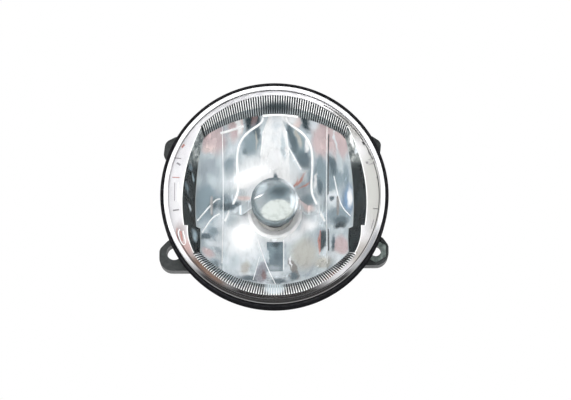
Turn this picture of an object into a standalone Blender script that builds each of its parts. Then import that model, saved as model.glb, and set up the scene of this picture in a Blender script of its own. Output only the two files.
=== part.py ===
"""Round front fog light for a car bumper, modelled in metres with +Z up.

The optical axis is the Y axis and the light shines towards -Y. The origin is where the optical axis meets
the plane of the mounting ears' seating faces. The reflector tilts about the X direction through the filament,
an adjuster screw below it sets that tilt, and the bulb turns about the optical axis to lock in its bayonet.
"""

import math

import bmesh
import bpy
from mathutils import Matrix, Vector

MM = 0.001

# Facets round a full circle, for large, medium and small turned pieces.
LARGE = 48
MEDIUM = 32
SMALL = 16

# Gaps between pieces that touch, and between pieces that turn in each other.
GAP = 0.3 * MM
RUNNING_GAP = 0.15 * MM

# Housing: a rim that holds the lens, a straight body, a domed back and a bulb collar.
RIM_RADIUS = 45.0 * MM
RIM_FRONT_Y = -12.0 * MM
RIM_BACK_Y = -2.2 * MM
RIM_LIP = 1.1 * MM
LEDGE_Y = -7.6 * MM
WALL = 2.0 * MM
BODY_RADIUS = 41.0 * MM
BODY_END_Y = 19.5 * MM
DOME_DEPTH = 14.0 * MM
DOME_END_RADIUS = 20.0 * MM
COLLAR_RADIUS = 16.5 * MM
COLLAR_END_Y = 48.5 * MM

# Mounting ears and upper locating lugs.
EAR_THICKNESS = 8.0 * MM
LUG_THICKNESS = 4.0 * MM
EAR_HOLE_RADIUS = 3.0 * MM
EAR_HOLE_LEFT = (-39.8 * MM, -21.3 * MM)
EAR_HOLE_RIGHT = (40.2 * MM, -20.6 * MM)
NUT_ACROSS_FLATS = 8.0 * MM
NUT_THICKNESS = 4.0 * MM
NUT_BORE = 2.1 * MM

# Lens: a spherical dome with a flat edge flange.
LENS_APEX_Y = -19.5 * MM
LENS_DOME_RADIUS = 42.0 * MM
LENS_DOME_END_Y = -13.0 * MM
LENS_THICKNESS = 2.4 * MM
LENS_FLANGE_BACK_Y = -9.4 * MM

# Bezel: a flat ring with a sloped opening in front of the reflector.
BEZEL_RADIUS = 41.6 * MM
BEZEL_FRONT_Y = -10.2 * MM
BEZEL_INNER_Y = -5.8 * MM
BEZEL_THICKNESS = 1.2 * MM
OPENING_RADIUS = 39.5 * MM
OPENING_HALF_WIDTH = 36.5 * MM
OPENING_SIDE_ARC = 47.0 * MM
WINDOW_HALF_WIDTH = 31.0 * MM
WINDOW_HALF_HEIGHT = 33.3 * MM
WINDOW_TOP_ARC = 46.0 * MM
WINDOW_BOTTOM_ARC = 40.4 * MM
SIDE_STEP = 1.9 * MM
SIDE_STEP_Z = -12.5 * MM

# Reflector: a paraboloid whose focus is the filament.
FOCAL_LENGTH = 11.0 * MM
VERTEX_Y = 29.0 * MM
FILAMENT_Y = VERTEX_Y - FOCAL_LENGTH
SHELL_THICKNESS = 1.5 * MM
REFLECTOR_RADIUS = 37.2 * MM
REFLECTOR_HALF_WIDTH = 33.5 * MM
REFLECTOR_HALF_HEIGHT = 35.5 * MM
BULB_HOLE_RADIUS = 9.8 * MM

# Tilt pivots of the reflector, on the filament's horizontal line.
BALL_RADIUS = 3.0 * MM
BALL_X = 32.0 * MM
PIVOT_ARM_X = 27.5 * MM
PIVOT_SEAT_X = 36.5 * MM
PIVOT_SEAT_RADIUS = 5.6 * MM

# Aiming screw, below the optical axis and parallel to it.
ADJUSTER_Z = -31.0 * MM
SCREW_RADIUS = 2.5 * MM
SCREW_TIP_Y = 15.4 * MM
NUT_LUG_Y = (18.5 * MM, 21.5 * MM)
BOSS_RADIUS = 6.5 * MM
BOSS_FRONT_Y = 26.5 * MM
BOSS_BACK_Y = 35.5 * MM
RETAINER_POCKET = 5.2 * MM

# Bulb with its bayonet, whose reference plane is 25 mm behind the filament.
REFERENCE_PLANE_Y = FILAMENT_Y + 25.0 * MM
BAYONET_WALL = 2.0 * MM
BAYONET_HOLE_RADIUS = 10.4 * MM
BAYONET_LUGS = 3
BAYONET_LUG_RADIUS = 12.0 * MM
BAYONET_TURN = math.radians(40)
FIRST_LUG_ANGLE = math.radians(90)
SEAL_TUBE_RADIUS = 13.4 * MM
GLASS_RADIUS = 5.9 * MM
GLASS_TIP_Y = 4.0 * MM
BASE_FRONT_Y = 37.0 * MM

# Electrical socket behind the bulb, which points down.
SOCKET_FRONT_Y = 50.8 * MM
SOCKET_BACK_Y = 66.0 * MM
SOCKET_HALF_WIDTH = 11.0 * MM
SOCKET_TOP_Z = 11.0 * MM
SOCKET_MOUTH_Z = -25.0 * MM
SOCKET_FLOOR_Z = -9.0 * MM
SOCKET_WALL = 1.9 * MM
TERMINAL_X = 4.0 * MM
TERMINAL_WIDTH = 2.8 * MM
TERMINAL_THICKNESS = 0.8 * MM

# Bulb shield, a cup on two legs riveted to the reflector.
SHIELD_RADIUS = 9.45 * MM
SHIELD_FACE_RADIUS = 8.1 * MM
SHIELD_FACE_Y = 0.6 * MM
SHIELD_BACK_Y = 8.0 * MM
SHIELD_SHEET = 0.8 * MM
LEG_WIDTH = 4.0 * MM
RIVET_X = 17.0 * MM

# Vent on the upper rear of the housing.
VENT_X = -16.0 * MM
VENT_Z = 24.0 * MM
VENT_RADIUS = 3.2 * MM
VENT_BORE = 1.6 * MM
VENT_END_Y = 39.5 * MM

FINISHES = {
    "black_plastic": ((0.012, 0.012, 0.013), 0.45, 0.0),
    "clear_lens": ((0.90, 0.93, 0.94), 0.05, 0.0),
    "mirror_coat": ((0.88, 0.89, 0.90), 0.08, 1.0),
    "chrome_trim": ((0.90, 0.90, 0.91), 0.15, 1.0),
    "black_rubber": ((0.02, 0.02, 0.02), 0.8, 0.0),
    "natural_nylon": ((0.75, 0.72, 0.66), 0.5, 0.0),
    "zinc_steel": ((0.62, 0.61, 0.58), 0.35, 1.0),
    "bulb_glass": ((0.95, 0.96, 0.97), 0.02, 0.0),
    "filament_wire": ((0.35, 0.34, 0.33), 0.4, 1.0),
    "tinned_copper": ((0.80, 0.78, 0.74), 0.3, 1.0),
    "vent_fabric": ((0.85, 0.85, 0.83), 0.9, 0.0),
}


# ---------------------------------------------------------------- scene and modelling helpers


def clear_scene():
    """Remove every object, and make one collection for the parts and one for the tools that shape them."""
    for found in list(bpy.data.objects):
        bpy.data.objects.remove(found, do_unlink=True)
    groups = []
    for title in ("fog_light", "cutters"):
        group = bpy.data.collections.new(title)
        bpy.context.scene.collection.children.link(group)
        groups.append(group)
    return groups


def finish_material(title):
    """The named finish as a Principled BSDF material."""
    made = bpy.data.materials.get(title)
    if made is None:
        colour, roughness, metallic = FINISHES[title]
        made = bpy.data.materials.new(title)
        made.use_nodes = True
        shader = made.node_tree.nodes["Principled BSDF"]
        shader.inputs["Base Color"].default_value = (*colour, 1.0)
        shader.inputs["Roughness"].default_value = roughness
        shader.inputs["Metallic"].default_value = metallic
    return made


def adopt(obj, title, finish=None):
    """Name an object and put it with the parts, or with the hidden tools where it has no finish."""
    obj.name = title
    for group in list(obj.users_collection):
        group.objects.unlink(obj)
    (PARTS if finish else TOOLS).objects.link(obj)
    if finish:
        obj.data.materials.clear()
        obj.data.materials.append(finish_material(finish))
    else:
        obj.hide_render = True
        obj.display_type = "WIRE"
    return obj


def box(title, low, high, finish=None):
    """A box between two corners."""
    low, high = Vector(low), Vector(high)
    bpy.ops.mesh.primitive_cube_add(size=1, location=(low + high) / 2)
    made = bpy.context.object
    made.scale = high - low
    bpy.ops.object.transform_apply(location=False, rotation=False, scale=True)
    return adopt(made, title, finish)


def rod(title, start, end, radius, finish=None, facets=SMALL):
    """A cylinder between two points."""
    start, end = Vector(start), Vector(end)
    along = end - start
    bpy.ops.mesh.primitive_cylinder_add(
        vertices=facets, radius=radius, depth=along.length, location=(start + end) / 2
    )
    made = bpy.context.object
    made.rotation_mode = "QUATERNION"
    made.rotation_quaternion = along.to_track_quat("Z", "Y")
    return adopt(made, title, finish)


def turned(title, profile, finish=None, facets=LARGE, x=0.0, z=0.0):
    """A piece turned about an axis parallel to Y through (x, z).

    The profile is (radius, y) pairs, from front to back along the outside and forward again inside. It closes
    on itself unless it starts and ends on the axis.
    """
    count = len(profile)
    on_axis = profile[0][0] == 0 and profile[-1][0] == 0
    edges = [(i, i + 1) for i in range(count - 1)]
    if not on_axis:
        edges.append((count - 1, 0))
    made = profile_object(title, profile, edges, facets)
    made.rotation_euler = (math.pi / 2, 0, 0)
    made.location = (x, 0, z)
    return adopt(made, title, finish)


def profile_object(title, profile, edges, facets):
    """The profile's line in the local XZ plane, with local +Z to the front, and a Screw modifier on it."""
    mesh = bpy.data.meshes.new(title)
    mesh.from_pydata([(radius, 0, -y) for radius, y in profile], edges, [])
    made = bpy.data.objects.new(title, mesh)
    bpy.context.scene.collection.objects.link(made)
    screw = made.modifiers.new("turn", "SCREW")
    screw.axis = "Z"
    screw.steps = facets
    screw.render_steps = facets
    screw.use_merge_vertices = True
    screw.merge_threshold = 0.00001
    return made


def turned_sideways(title, profile, side, y, finish, facets=SMALL):
    """A piece turned about the line parallel to X at that y. The profile is (radius, distance from the centre)."""
    made = turned(title, profile, finish, facets)
    quarter = Matrix.Rotation(-side * math.pi / 2, 4, "Z")
    made.matrix_world = Matrix.Translation((0, y, 0)) @ quarter @ Matrix.Rotation(math.pi / 2, 4, "X")
    return made


def rounded(corners, steps=5):
    """Outline points of a polygon whose corners, given as (x, z, radius), are rounded by arcs."""
    points = []
    count = len(corners)
    for i, (x, z, radius) in enumerate(corners):
        here = Vector((x, z))
        before = (Vector(corners[i - 1][:2]) - here).normalized()
        after = (Vector(corners[(i + 1) % count][:2]) - here).normalized()
        half = before.angle(after) / 2
        centre = here + (before + after).normalized() * (radius / math.sin(half))
        first = here + before * (radius / math.tan(half)) - centre
        last = here + after * (radius / math.tan(half)) - centre
        swing = first.angle_signed(last)
        for step in range(steps + 1):
            turn = Matrix.Rotation(-swing * step / steps, 2)
            points.append(tuple(centre + turn @ first))
    return points


def prism(title, outline, front, back, finish=None):
    """A flat outline of (x, z) points, given a thickness from y = front to y = back."""
    curve = bpy.data.curves.new(title, "CURVE")
    curve.dimensions = "2D"
    curve.fill_mode = "BOTH"
    curve.extrude = (back - front) / 2
    line = curve.splines.new("POLY")
    line.points.add(len(outline) - 1)
    for point, (x, z) in zip(line.points, outline):
        point.co = (x, z, 0, 1)
    line.use_cyclic_u = True
    flat = bpy.data.objects.new(title, curve)
    bpy.context.scene.collection.objects.link(flat)
    flat.rotation_euler = (math.pi / 2, 0, 0)
    flat.location = (0, (front + back) / 2, 0)
    return adopt(as_mesh(flat), title, finish)


def as_mesh(curve_object):
    """A curve turned into a mesh whose caps are welded to its sides."""
    bpy.context.view_layer.update()
    graph = bpy.context.evaluated_depsgraph_get()
    mesh = bpy.data.meshes.new_from_object(curve_object.evaluated_get(graph))
    welded = bmesh.new()
    welded.from_mesh(mesh)
    bmesh.ops.remove_doubles(welded, verts=welded.verts, dist=0.000001)
    bmesh.ops.recalc_face_normals(welded, faces=welded.faces)
    welded.to_mesh(mesh)
    welded.free()
    made = bpy.data.objects.new(curve_object.name, mesh)
    bpy.context.scene.collection.objects.link(made)
    made.matrix_world = curve_object.matrix_world
    bpy.data.objects.remove(curve_object, do_unlink=True)
    return made


def wire(title, points, radius, finish):
    """A round wire through the points."""
    curve = bpy.data.curves.new(title, "CURVE")
    curve.dimensions = "3D"
    curve.bevel_depth = radius
    curve.bevel_resolution = 2
    curve.use_fill_caps = True
    line = curve.splines.new("POLY")
    line.points.add(len(points) - 1)
    for point, place in zip(line.points, points):
        point.co = (*place, 1)
    made = bpy.data.objects.new(title, curve)
    bpy.context.scene.collection.objects.link(made)
    return adopt(made, title, finish)


def boolean(target, operation, tools):
    for tool in tools:
        step = target.modifiers.new(tool.name, "BOOLEAN")
        step.operation = operation
        step.object = tool
    return target


def join(target, *tools):
    return boolean(target, "UNION", tools)


def cut(target, *tools):
    return boolean(target, "DIFFERENCE", tools)


def keep_within(target, *tools):
    return boolean(target, "INTERSECT", tools)


def solidify(target, thickness, offset):
    step = target.modifiers.new("thickness", "SOLIDIFY")
    step.thickness = thickness
    step.offset = offset
    return target


def round_edges(target, width, segments=2):
    step = target.modifiers.new("rounded_edges", "BEVEL")
    step.width = width
    step.segments = segments
    step.limit_method = "ANGLE"
    return target


def shade_smooth(target):
    target.data.shade_smooth()
    return target


def hexagon(across_flats, x, z):
    """A hexagon with two upright sides, about (x, z)."""
    corner = across_flats / 2 / math.cos(math.pi / 6)
    angles = [math.pi / 6 + i * math.pi / 3 for i in range(6)]
    return [(x + corner * math.cos(a), z + corner * math.sin(a)) for a in angles]


# ---------------------------------------------------------------- shared shapes


def parabola_y(radius):
    """The reflecting surface's y at that distance from the optical axis."""
    return VERTEX_Y - radius**2 / (4 * FOCAL_LENGTH)


def dome_profile(end_radius, end_y, body_radius, steps=4):
    """Quarter of an ellipse from the straight body to the back of the dome, as (radius, y)."""
    points = []
    for step in range(steps + 1):
        angle = math.pi / 2 * step / steps
        radius = end_radius + (body_radius - end_radius) * math.cos(angle)
        points.append((radius, BODY_END_Y + (end_y - BODY_END_Y) * math.sin(angle)))
    return points


def arc_reach(angle, arc_radius, arc_end):
    """How far from the axis, at that angle, an arc lies whose outermost point is arc_end along +X."""
    centre = arc_end - arc_radius
    across = centre * math.sin(angle)
    return centre * math.cos(angle) + math.sqrt(arc_radius**2 - across**2)


def opening_reach(angle):
    """Front outline of the bezel's opening: a circle cut by two bowed sides, which step in low down."""
    side = arc_reach(math.asin(abs(math.sin(angle))), OPENING_SIDE_ARC, OPENING_HALF_WIDTH)
    reach = min(OPENING_RADIUS, side)
    if reach * math.sin(angle) < SIDE_STEP_Z and reach < OPENING_RADIUS:
        reach -= SIDE_STEP
    return reach


def window_reach(angle):
    """Rear outline of the bezel's opening: a shallow arc above, another below and nearly straight sides."""
    upward = math.sin(angle)
    arc = WINDOW_TOP_ARC if upward > 0 else WINDOW_BOTTOM_ARC
    from_pole = math.pi / 2 - math.asin(abs(upward))
    reach = arc_reach(from_pole, arc, WINDOW_HALF_HEIGHT)
    half_width = WINDOW_HALF_WIDTH
    if reach * upward < SIDE_STEP_Z:
        half_width -= SIDE_STEP / 2
    return min(reach, half_width / max(abs(math.cos(angle)), 0.001))


def ring_of_points(reach, y, count=72):
    """A closed loop of points about the optical axis, at the distance that reach gives for each angle."""
    points = []
    for i in range(count):
        angle = 2 * math.pi * i / count
        points.append((reach(angle) * math.cos(angle), y, reach(angle) * math.sin(angle)))
    return points


def loft(title, loops):
    """An open surface that joins each loop of points to the next."""
    mesh = bmesh.new()
    rows = [[mesh.verts.new(point) for point in loop] for loop in loops]
    for first, second in zip(rows, rows[1:]):
        for i in range(len(first)):
            j = (i + 1) % len(first)
            mesh.faces.new((first[i], first[j], second[j], second[i]))
    data = bpy.data.meshes.new(title)
    mesh.to_mesh(data)
    mesh.free()
    made = bpy.data.objects.new(title, data)
    bpy.context.scene.collection.objects.link(made)
    return made


# ---------------------------------------------------------------- housing and what is fixed to it


def make_housing():
    lip = RIM_RADIUS - RIM_LIP
    dome_end_y = BODY_END_Y + DOME_DEPTH
    chamfer = 0.4 * MM
    outside = [
        (lip, RIM_FRONT_Y),
        (RIM_RADIUS - chamfer, RIM_FRONT_Y),
        (RIM_RADIUS, RIM_FRONT_Y + chamfer),
        (RIM_RADIUS, RIM_BACK_Y - chamfer),
        (RIM_RADIUS - chamfer, RIM_BACK_Y),
        (BODY_RADIUS, RIM_BACK_Y + 1.5 * MM),
        *dome_profile(DOME_END_RADIUS, dome_end_y, BODY_RADIUS),
        (COLLAR_RADIUS, dome_end_y + 1 * MM),
        (COLLAR_RADIUS, COLLAR_END_Y),
        (SEAL_TUBE_RADIUS, COLLAR_END_Y),
        (SEAL_TUBE_RADIUS, REFERENCE_PLANE_Y),
        (BAYONET_HOLE_RADIUS, REFERENCE_PLANE_Y),
        (BAYONET_HOLE_RADIUS, REFERENCE_PLANE_Y - BAYONET_WALL),
        (COLLAR_RADIUS - WALL, REFERENCE_PLANE_Y - BAYONET_WALL),
        (COLLAR_RADIUS - WALL, dome_end_y - WALL),
    ]
    inside = dome_profile(DOME_END_RADIUS - WALL, dome_end_y - WALL, BODY_RADIUS - WALL)
    inside.reverse()
    seat = [(BODY_RADIUS - WALL, LEDGE_Y), (lip, LEDGE_Y)]
    housing = turned("housing", outside + inside + seat, "black_plastic")
    join(housing, *ear_tools(), *boss_tools(), *rib_tools())
    cut(housing, *hole_tools(), *bayonet_notches())
    return shade_smooth(housing)


def ear_tools():
    """Two lower ears and two upper locating lugs, which run into the body's wall but not through it."""
    left = rounded(
        [
            (-45.7 * MM, -28.6 * MM, 5 * MM),
            (-27.5 * MM, -28.6 * MM, 1 * MM),
            (-36.0 * MM, -17.0 * MM, 1 * MM),
            (-41.8 * MM, -16.0 * MM, 2 * MM),
            (-45.7 * MM, -20.0 * MM, 3 * MM),
        ]
    )
    right = rounded(
        [
            (45.3 * MM, -26.4 * MM, 5 * MM),
            (45.3 * MM, -18.4 * MM, 3 * MM),
            (42.6 * MM, -14.8 * MM, 1.5 * MM),
            (36.8 * MM, -15.0 * MM, 1 * MM),
            (29.5 * MM, -26.4 * MM, 1 * MM),
        ]
    )
    lug_left = rounded(
        [
            (-38.6 * MM, 26.2 * MM, 1 * MM),
            (-35.0 * MM, 20.0 * MM, 1 * MM),
            (-37.5 * MM, 15.4 * MM, 1 * MM),
            (-44.6 * MM, 17.0 * MM, 1.5 * MM),
            (-44.0 * MM, 22.8 * MM, 3 * MM),
        ]
    )
    lug_right = rounded(
        [
            (42.6 * MM, 23.2 * MM, 2 * MM),
            (42.2 * MM, 19.4 * MM, 1.5 * MM),
            (37.0 * MM, 17.0 * MM, 1 * MM),
            (34.5 * MM, 21.0 * MM, 1 * MM),
            (38.0 * MM, 26.6 * MM, 1 * MM),
        ]
    )
    solid = turned(
        "ear_root_cutter",
        [
            (0, -EAR_THICKNESS),
            (BODY_RADIUS - WALL / 2, -EAR_THICKNESS),
            (BODY_RADIUS - WALL / 2, 2 * EAR_THICKNESS),
            (0, 2 * EAR_THICKNESS),
        ],
    )
    made = [
        prism("ear_left_tool", left, 0, EAR_THICKNESS),
        prism("ear_right_tool", right, 0, EAR_THICKNESS),
        prism("lug_left_tool", lug_left, 0, LUG_THICKNESS),
        prism("lug_right_tool", lug_right, 0, LUG_THICKNESS),
    ]
    for tool in made:
        cut(tool, solid)
    return made


def boss_tools():
    """The adjuster's boss, the vent's nipple and the seats of the two tilt pivots."""
    made = [
        rod(
            "adjuster_boss",
            (0, BOSS_FRONT_Y, ADJUSTER_Z),
            (0, BOSS_BACK_Y, ADJUSTER_Z),
            BOSS_RADIUS,
        ),
        rod(
            "vent_nipple",
            (VENT_X, BOSS_FRONT_Y + 3 * MM, VENT_Z),
            (VENT_X, VENT_END_Y, VENT_Z),
            VENT_RADIUS,
        ),
    ]
    for side in (-1, 1):
        inner = (side * PIVOT_SEAT_X, FILAMENT_Y, 0)
        outer = (side * (BODY_RADIUS - 0.7 * WALL), FILAMENT_Y, 0)
        made.append(rod(f"pivot_seat_{side}", inner, outer, PIVOT_SEAT_RADIUS))
    return made


def rib_tools():
    """Stiffening ribs on the domed back, between the collar and the body."""
    made = []
    for i in range(6):
        angle = math.radians(15 + 60 * i)
        rib = box(
            f"rib_{i}",
            (COLLAR_RADIUS - WALL / 2, BODY_END_Y + 10.5 * MM, -0.8 * MM),
            (BODY_RADIUS - 9 * MM, BODY_END_Y + 15.5 * MM, 0.8 * MM),
        )
        rib.matrix_world = Matrix.Rotation(angle, 4, "Y") @ rib.matrix_world
        made.append(rib)
    return made


def hole_tools():
    """Cutters for the left ear's hole, the right ear's nut pocket and hole, the screw's bore and the vent."""
    left_x, left_z = EAR_HOLE_LEFT
    right_x, right_z = EAR_HOLE_RIGHT
    past = 1 * MM
    ear_end = EAR_THICKNESS + past
    pocket_end = NUT_THICKNESS + 2 * GAP
    made = [
        rod("ear_left_hole", (left_x, -past, left_z), (left_x, ear_end, left_z), EAR_HOLE_RADIUS, facets=24),
        rod("ear_right_hole", (right_x, -past, right_z), (right_x, ear_end, right_z), NUT_BORE + 2 * GAP),
        prism("nut_pocket", hexagon(NUT_ACROSS_FLATS + 2 * GAP, right_x, right_z), -past, pocket_end),
        rod(
            "adjuster_bore",
            (0, BOSS_FRONT_Y - past, ADJUSTER_Z),
            (0, BOSS_BACK_Y + past, ADJUSTER_Z),
            SCREW_RADIUS + GAP,
        ),
        rod(
            "adjuster_seal_seat",
            (0, BOSS_BACK_Y - 2.2 * MM, ADJUSTER_Z),
            (0, BOSS_BACK_Y + past, ADJUSTER_Z),
            SCREW_RADIUS + 2.4 * MM,
        ),
        rod(
            "retainer_pocket",
            (0, BODY_END_Y, ADJUSTER_Z),
            (0, BOSS_FRONT_Y + 0.5 * MM, ADJUSTER_Z),
            RETAINER_POCKET,
        ),
        rod("vent_bore", (VENT_X, BODY_END_Y, VENT_Z), (VENT_X, VENT_END_Y + past, VENT_Z), VENT_BORE),
    ]
    for side in (-1, 1):
        inner = (side * (PIVOT_SEAT_X - past), FILAMENT_Y, 0)
        outer = (side * (PIVOT_SEAT_X + 2.4 * MM), FILAMENT_Y, 0)
        made.append(rod(f"pivot_pin_hole_{side}", inner, outer, 2.3 * MM))
    return made


def bayonet_notches():
    """Notches in the bayonet wall, one turn of the bulb away from its locked lugs."""
    made = []
    for i in range(BAYONET_LUGS):
        notch = box(
            f"bayonet_notch_{i}",
            (BAYONET_HOLE_RADIUS - 1 * MM, REFERENCE_PLANE_Y - BAYONET_WALL - 1 * MM, -3.2 * MM),
            (BAYONET_LUG_RADIUS + 0.6 * MM, REFERENCE_PLANE_Y + 1 * MM, 3.2 * MM),
        )
        angle = FIRST_LUG_ANGLE - BAYONET_TURN + 2 * math.pi * i / BAYONET_LUGS
        notch.matrix_world = Matrix.Rotation(-angle, 4, "Y") @ notch.matrix_world
        made.append(notch)
    return made


def dome_y(radius, apex_y):
    """Depth of the lens's spherical surface at that radius, for a dome whose middle is at apex_y."""
    rise = LENS_DOME_END_Y - LENS_APEX_Y
    sphere = (LENS_DOME_RADIUS**2 + rise**2) / (2 * rise)
    return apex_y + sphere - math.sqrt(sphere**2 - radius**2)


def make_lens():
    rings = 4
    edge = RIM_RADIUS - RIM_LIP - GAP
    inner_edge = BEZEL_RADIUS + GAP
    outer = [LENS_DOME_RADIUS * i / rings for i in range(rings + 1)]
    inner = [inner_edge * (rings - i) / rings for i in range(rings + 1)]
    profile = [(radius, dome_y(radius, LENS_APEX_Y)) for radius in outer]
    profile += [
        (LENS_DOME_RADIUS + 0.5 * MM, RIM_FRONT_Y - 0.5 * MM),
        (edge, RIM_FRONT_Y - 0.3 * MM),
        (edge, LENS_FLANGE_BACK_Y),
        (inner_edge + 0.2 * MM, LENS_FLANGE_BACK_Y),
    ]
    profile += [(radius, dome_y(radius, LENS_APEX_Y + LENS_THICKNESS)) for radius in inner]
    return shade_smooth(turned("lens", profile, "clear_lens"))


def make_lens_seal():
    """The flat bead of sealant between the lens's flange and the housing's ledge."""
    inner = BEZEL_RADIUS + 2 * GAP
    outer = RIM_RADIUS - RIM_LIP - GAP
    front = LENS_FLANGE_BACK_Y + GAP
    back = LEDGE_Y - GAP
    return turned("lens_seal", [(inner, front), (outer, front), (outer, back), (inner, back)], "black_rubber")


def make_bezel():
    loops = [
        ring_of_points(lambda angle: BEZEL_RADIUS, BEZEL_FRONT_Y),
        ring_of_points(opening_reach, BEZEL_FRONT_Y),
        ring_of_points(window_reach, BEZEL_INNER_Y),
    ]
    bezel = adopt(loft("bezel", loops), "bezel", "chrome_trim")
    return solidify(bezel, BEZEL_THICKNESS, -1)


def make_pivot_cup(side, title):
    """A snap-in socket for the reflector's ball stud, with a pin into the housing's seat."""
    socket = BALL_RADIUS + RUNNING_GAP
    mouth = 2.55 * MM
    front = BALL_X - math.sqrt(socket**2 - mouth**2)
    steps = 5
    start = math.asin(mouth / socket)
    hollow = []
    for i in range(steps + 1):
        angle = math.pi - start + (start - math.pi) * i / steps
        hollow.append((socket * math.sin(angle), BALL_X + socket * math.cos(angle)))
    hollow[-1] = (0, BALL_X + socket)
    back = PIVOT_SEAT_X - GAP
    profile = [
        (0, BALL_X + socket),
        *reversed(hollow[:-1]),
        (5.2 * MM, front),
        (5.2 * MM, back),
        (2.0 * MM, back),
        (2.0 * MM, back + 2.3 * MM),
        (0, back + 2.3 * MM),
    ]
    return turned_sideways(title, profile, side, FILAMENT_Y, "natural_nylon")


def make_captive_nut():
    x, z = EAR_HOLE_RIGHT
    nut = prism("captive_nut", hexagon(NUT_ACROSS_FLATS, x, z), GAP, GAP + NUT_THICKNESS, "zinc_steel")
    return cut(nut, rod("nut_thread", (x, -1 * MM, z), (x, 2 * NUT_THICKNESS, z), NUT_BORE))


def make_vent_cap():
    """A rubber cap over the vent's nipple, with two air slots in its skirt."""
    front = VENT_END_Y - 4.5 * MM
    inside = VENT_END_Y + 1.2 * MM
    back = inside + 1.8 * MM
    bore = VENT_RADIUS + GAP
    profile = [
        (bore, front),
        (5.2 * MM, front),
        (5.2 * MM, back - 1 * MM),
        (4.2 * MM, back),
        (0, back),
    ]
    cap = turned("vent_cap", [(0, inside), (bore, inside), *profile], "black_rubber", SMALL, VENT_X, VENT_Z)
    slot_half = 0.8 * MM
    slot = box(
        "vent_slot",
        (VENT_X - 7 * MM, front - 1 * MM, VENT_Z - slot_half),
        (VENT_X + 7 * MM, front + 1.5 * MM, VENT_Z + slot_half),
    )
    return cut(shade_smooth(cap), slot)


def make_vent_membrane():
    centre = (VENT_X, VENT_Z)
    front = (centre[0], VENT_END_Y + GAP, centre[1])
    back = (centre[0], VENT_END_Y + 0.8 * MM, centre[1])
    return rod("vent_membrane", front, back, VENT_RADIUS - 0.1 * MM, "vent_fabric")


# ---------------------------------------------------------------- reflector and what tilts with it


def make_reflector():
    steps = 7
    widest = REFLECTOR_RADIUS + 1 * MM
    neck = BULB_HOLE_RADIUS + SHELL_THICKNESS
    radii = [widest + (BULB_HOLE_RADIUS - widest) * i / steps for i in range(steps + 1)]
    mirror_side = [(radius, parabola_y(radius)) for radius in radii]
    rear_side = [rear_of_mirror(radius) for radius in radii[:-1]]
    profile = [*rear_side, (neck, VERTEX_Y), (BULB_HOLE_RADIUS, VERTEX_Y), *reversed(mirror_side)]
    reflector = turned("reflector", profile, "mirror_coat", MEDIUM)
    reflector.rotation_euler.y = math.pi / MEDIUM
    keep_within(reflector, prism("reflector_outline", reflector_outline(), -9 * MM, VERTEX_Y + 9 * MM))
    join(reflector, *reflector_arms())
    cut(reflector, *reflector_holes())
    return shade_smooth(reflector)


def rear_of_mirror(radius, depth=SHELL_THICKNESS):
    """A point that far behind the mirror surface, square to it at that radius, as (radius, y)."""
    slope = radius / (2 * FOCAL_LENGTH)
    length = math.sqrt(1 + slope**2)
    return (radius + depth * slope / length, parabola_y(radius) + depth / length)


def reflector_outline():
    """A circle with flat sides, top and bottom."""
    points = []
    for i in range(LARGE):
        angle = 2 * math.pi * (i + 0.5) / LARGE
        x = REFLECTOR_RADIUS * math.cos(angle)
        z = REFLECTOR_RADIUS * math.sin(angle)
        x = max(-REFLECTOR_HALF_WIDTH, min(REFLECTOR_HALF_WIDTH, x))
        z = max(-REFLECTOR_HALF_HEIGHT, min(REFLECTOR_HALF_HEIGHT, z))
        points.append((x, z))
    return points


def reflector_arms():
    """Side arms for the pivot studs and a lug below for the adjuster's nut, all behind the mirror surface."""
    half = 4 * MM
    front, back = NUT_LUG_Y
    made = [
        box("adjuster_lug", (-6.7 * MM, front, ADJUSTER_Z - 5.5 * MM), (6.7 * MM, back, -21 * MM)),
        box("pivot_arm_left", (-PIVOT_ARM_X, FILAMENT_Y - 6 * MM, -half), (-20 * MM, FILAMENT_Y + half, half)),
        box("pivot_arm_right", (20 * MM, FILAMENT_Y - 6 * MM, -half), (PIVOT_ARM_X, FILAMENT_Y + half, half)),
    ]
    for side in (-1, 1):
        centre = side * 6.0 * MM
        made.append(
            box(
                f"adjuster_gusset_{side}",
                (centre - 0.6 * MM, 4 * MM, ADJUSTER_Z - 3.5 * MM),
                (centre + 0.6 * MM, back - 0.5 * MM, -22 * MM),
            )
        )
    for arm in made:
        cut(arm, mirror_hollow(arm.name))
    return made


def mirror_hollow(title):
    """The space in front of the middle of the reflector's shell, to trim what joins the shell from behind."""
    steps = 12
    reach = REFLECTOR_RADIUS + 6 * MM
    profile = [(0, -20 * MM), (reach, -20 * MM)]
    for i in range(steps + 1):
        profile.append(rear_of_mirror(reach * (steps - i) / steps, SHELL_THICKNESS / 2))
    return turned(f"hollow_{title}", profile, facets=MEDIUM)


def reflector_holes():
    """Holes for the adjuster's nut, the pivot studs and the shield's rivets."""
    made = [
        rod(
            "adjuster_nut_hole",
            (0, NUT_LUG_Y[0] - 1 * MM, ADJUSTER_Z),
            (0, NUT_LUG_Y[1] + 1 * MM, ADJUSTER_Z),
            3.3 * MM + GAP,
        )
    ]
    for side in (-1, 1):
        inner = (side * (PIVOT_ARM_X - 4 * MM - GAP), FILAMENT_Y, 0)
        outer = (side * (PIVOT_ARM_X + 1 * MM), FILAMENT_Y, 0)
        made.append(rod(f"stud_hole_{side}", inner, outer, 1.7 * MM + GAP))
        made.append(rivet_tool(side, "reflector_rivet_hole", 0.9 * MM + GAP))
    return made


def rivet_frame(side):
    """Where a rivet goes through the mirror surface, and the surface's rearward normal there."""
    place = Vector((side * RIVET_X, parabola_y(RIVET_X), 0))
    normal = Vector((side * RIVET_X / (2 * FOCAL_LENGTH), 1, 0)).normalized()
    return place, normal


def rivet_tool(side, title, radius):
    place, normal = rivet_frame(side)
    return rod(f"{title}_{side}", place - normal * 4 * MM, place + normal * 5 * MM, radius)


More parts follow.
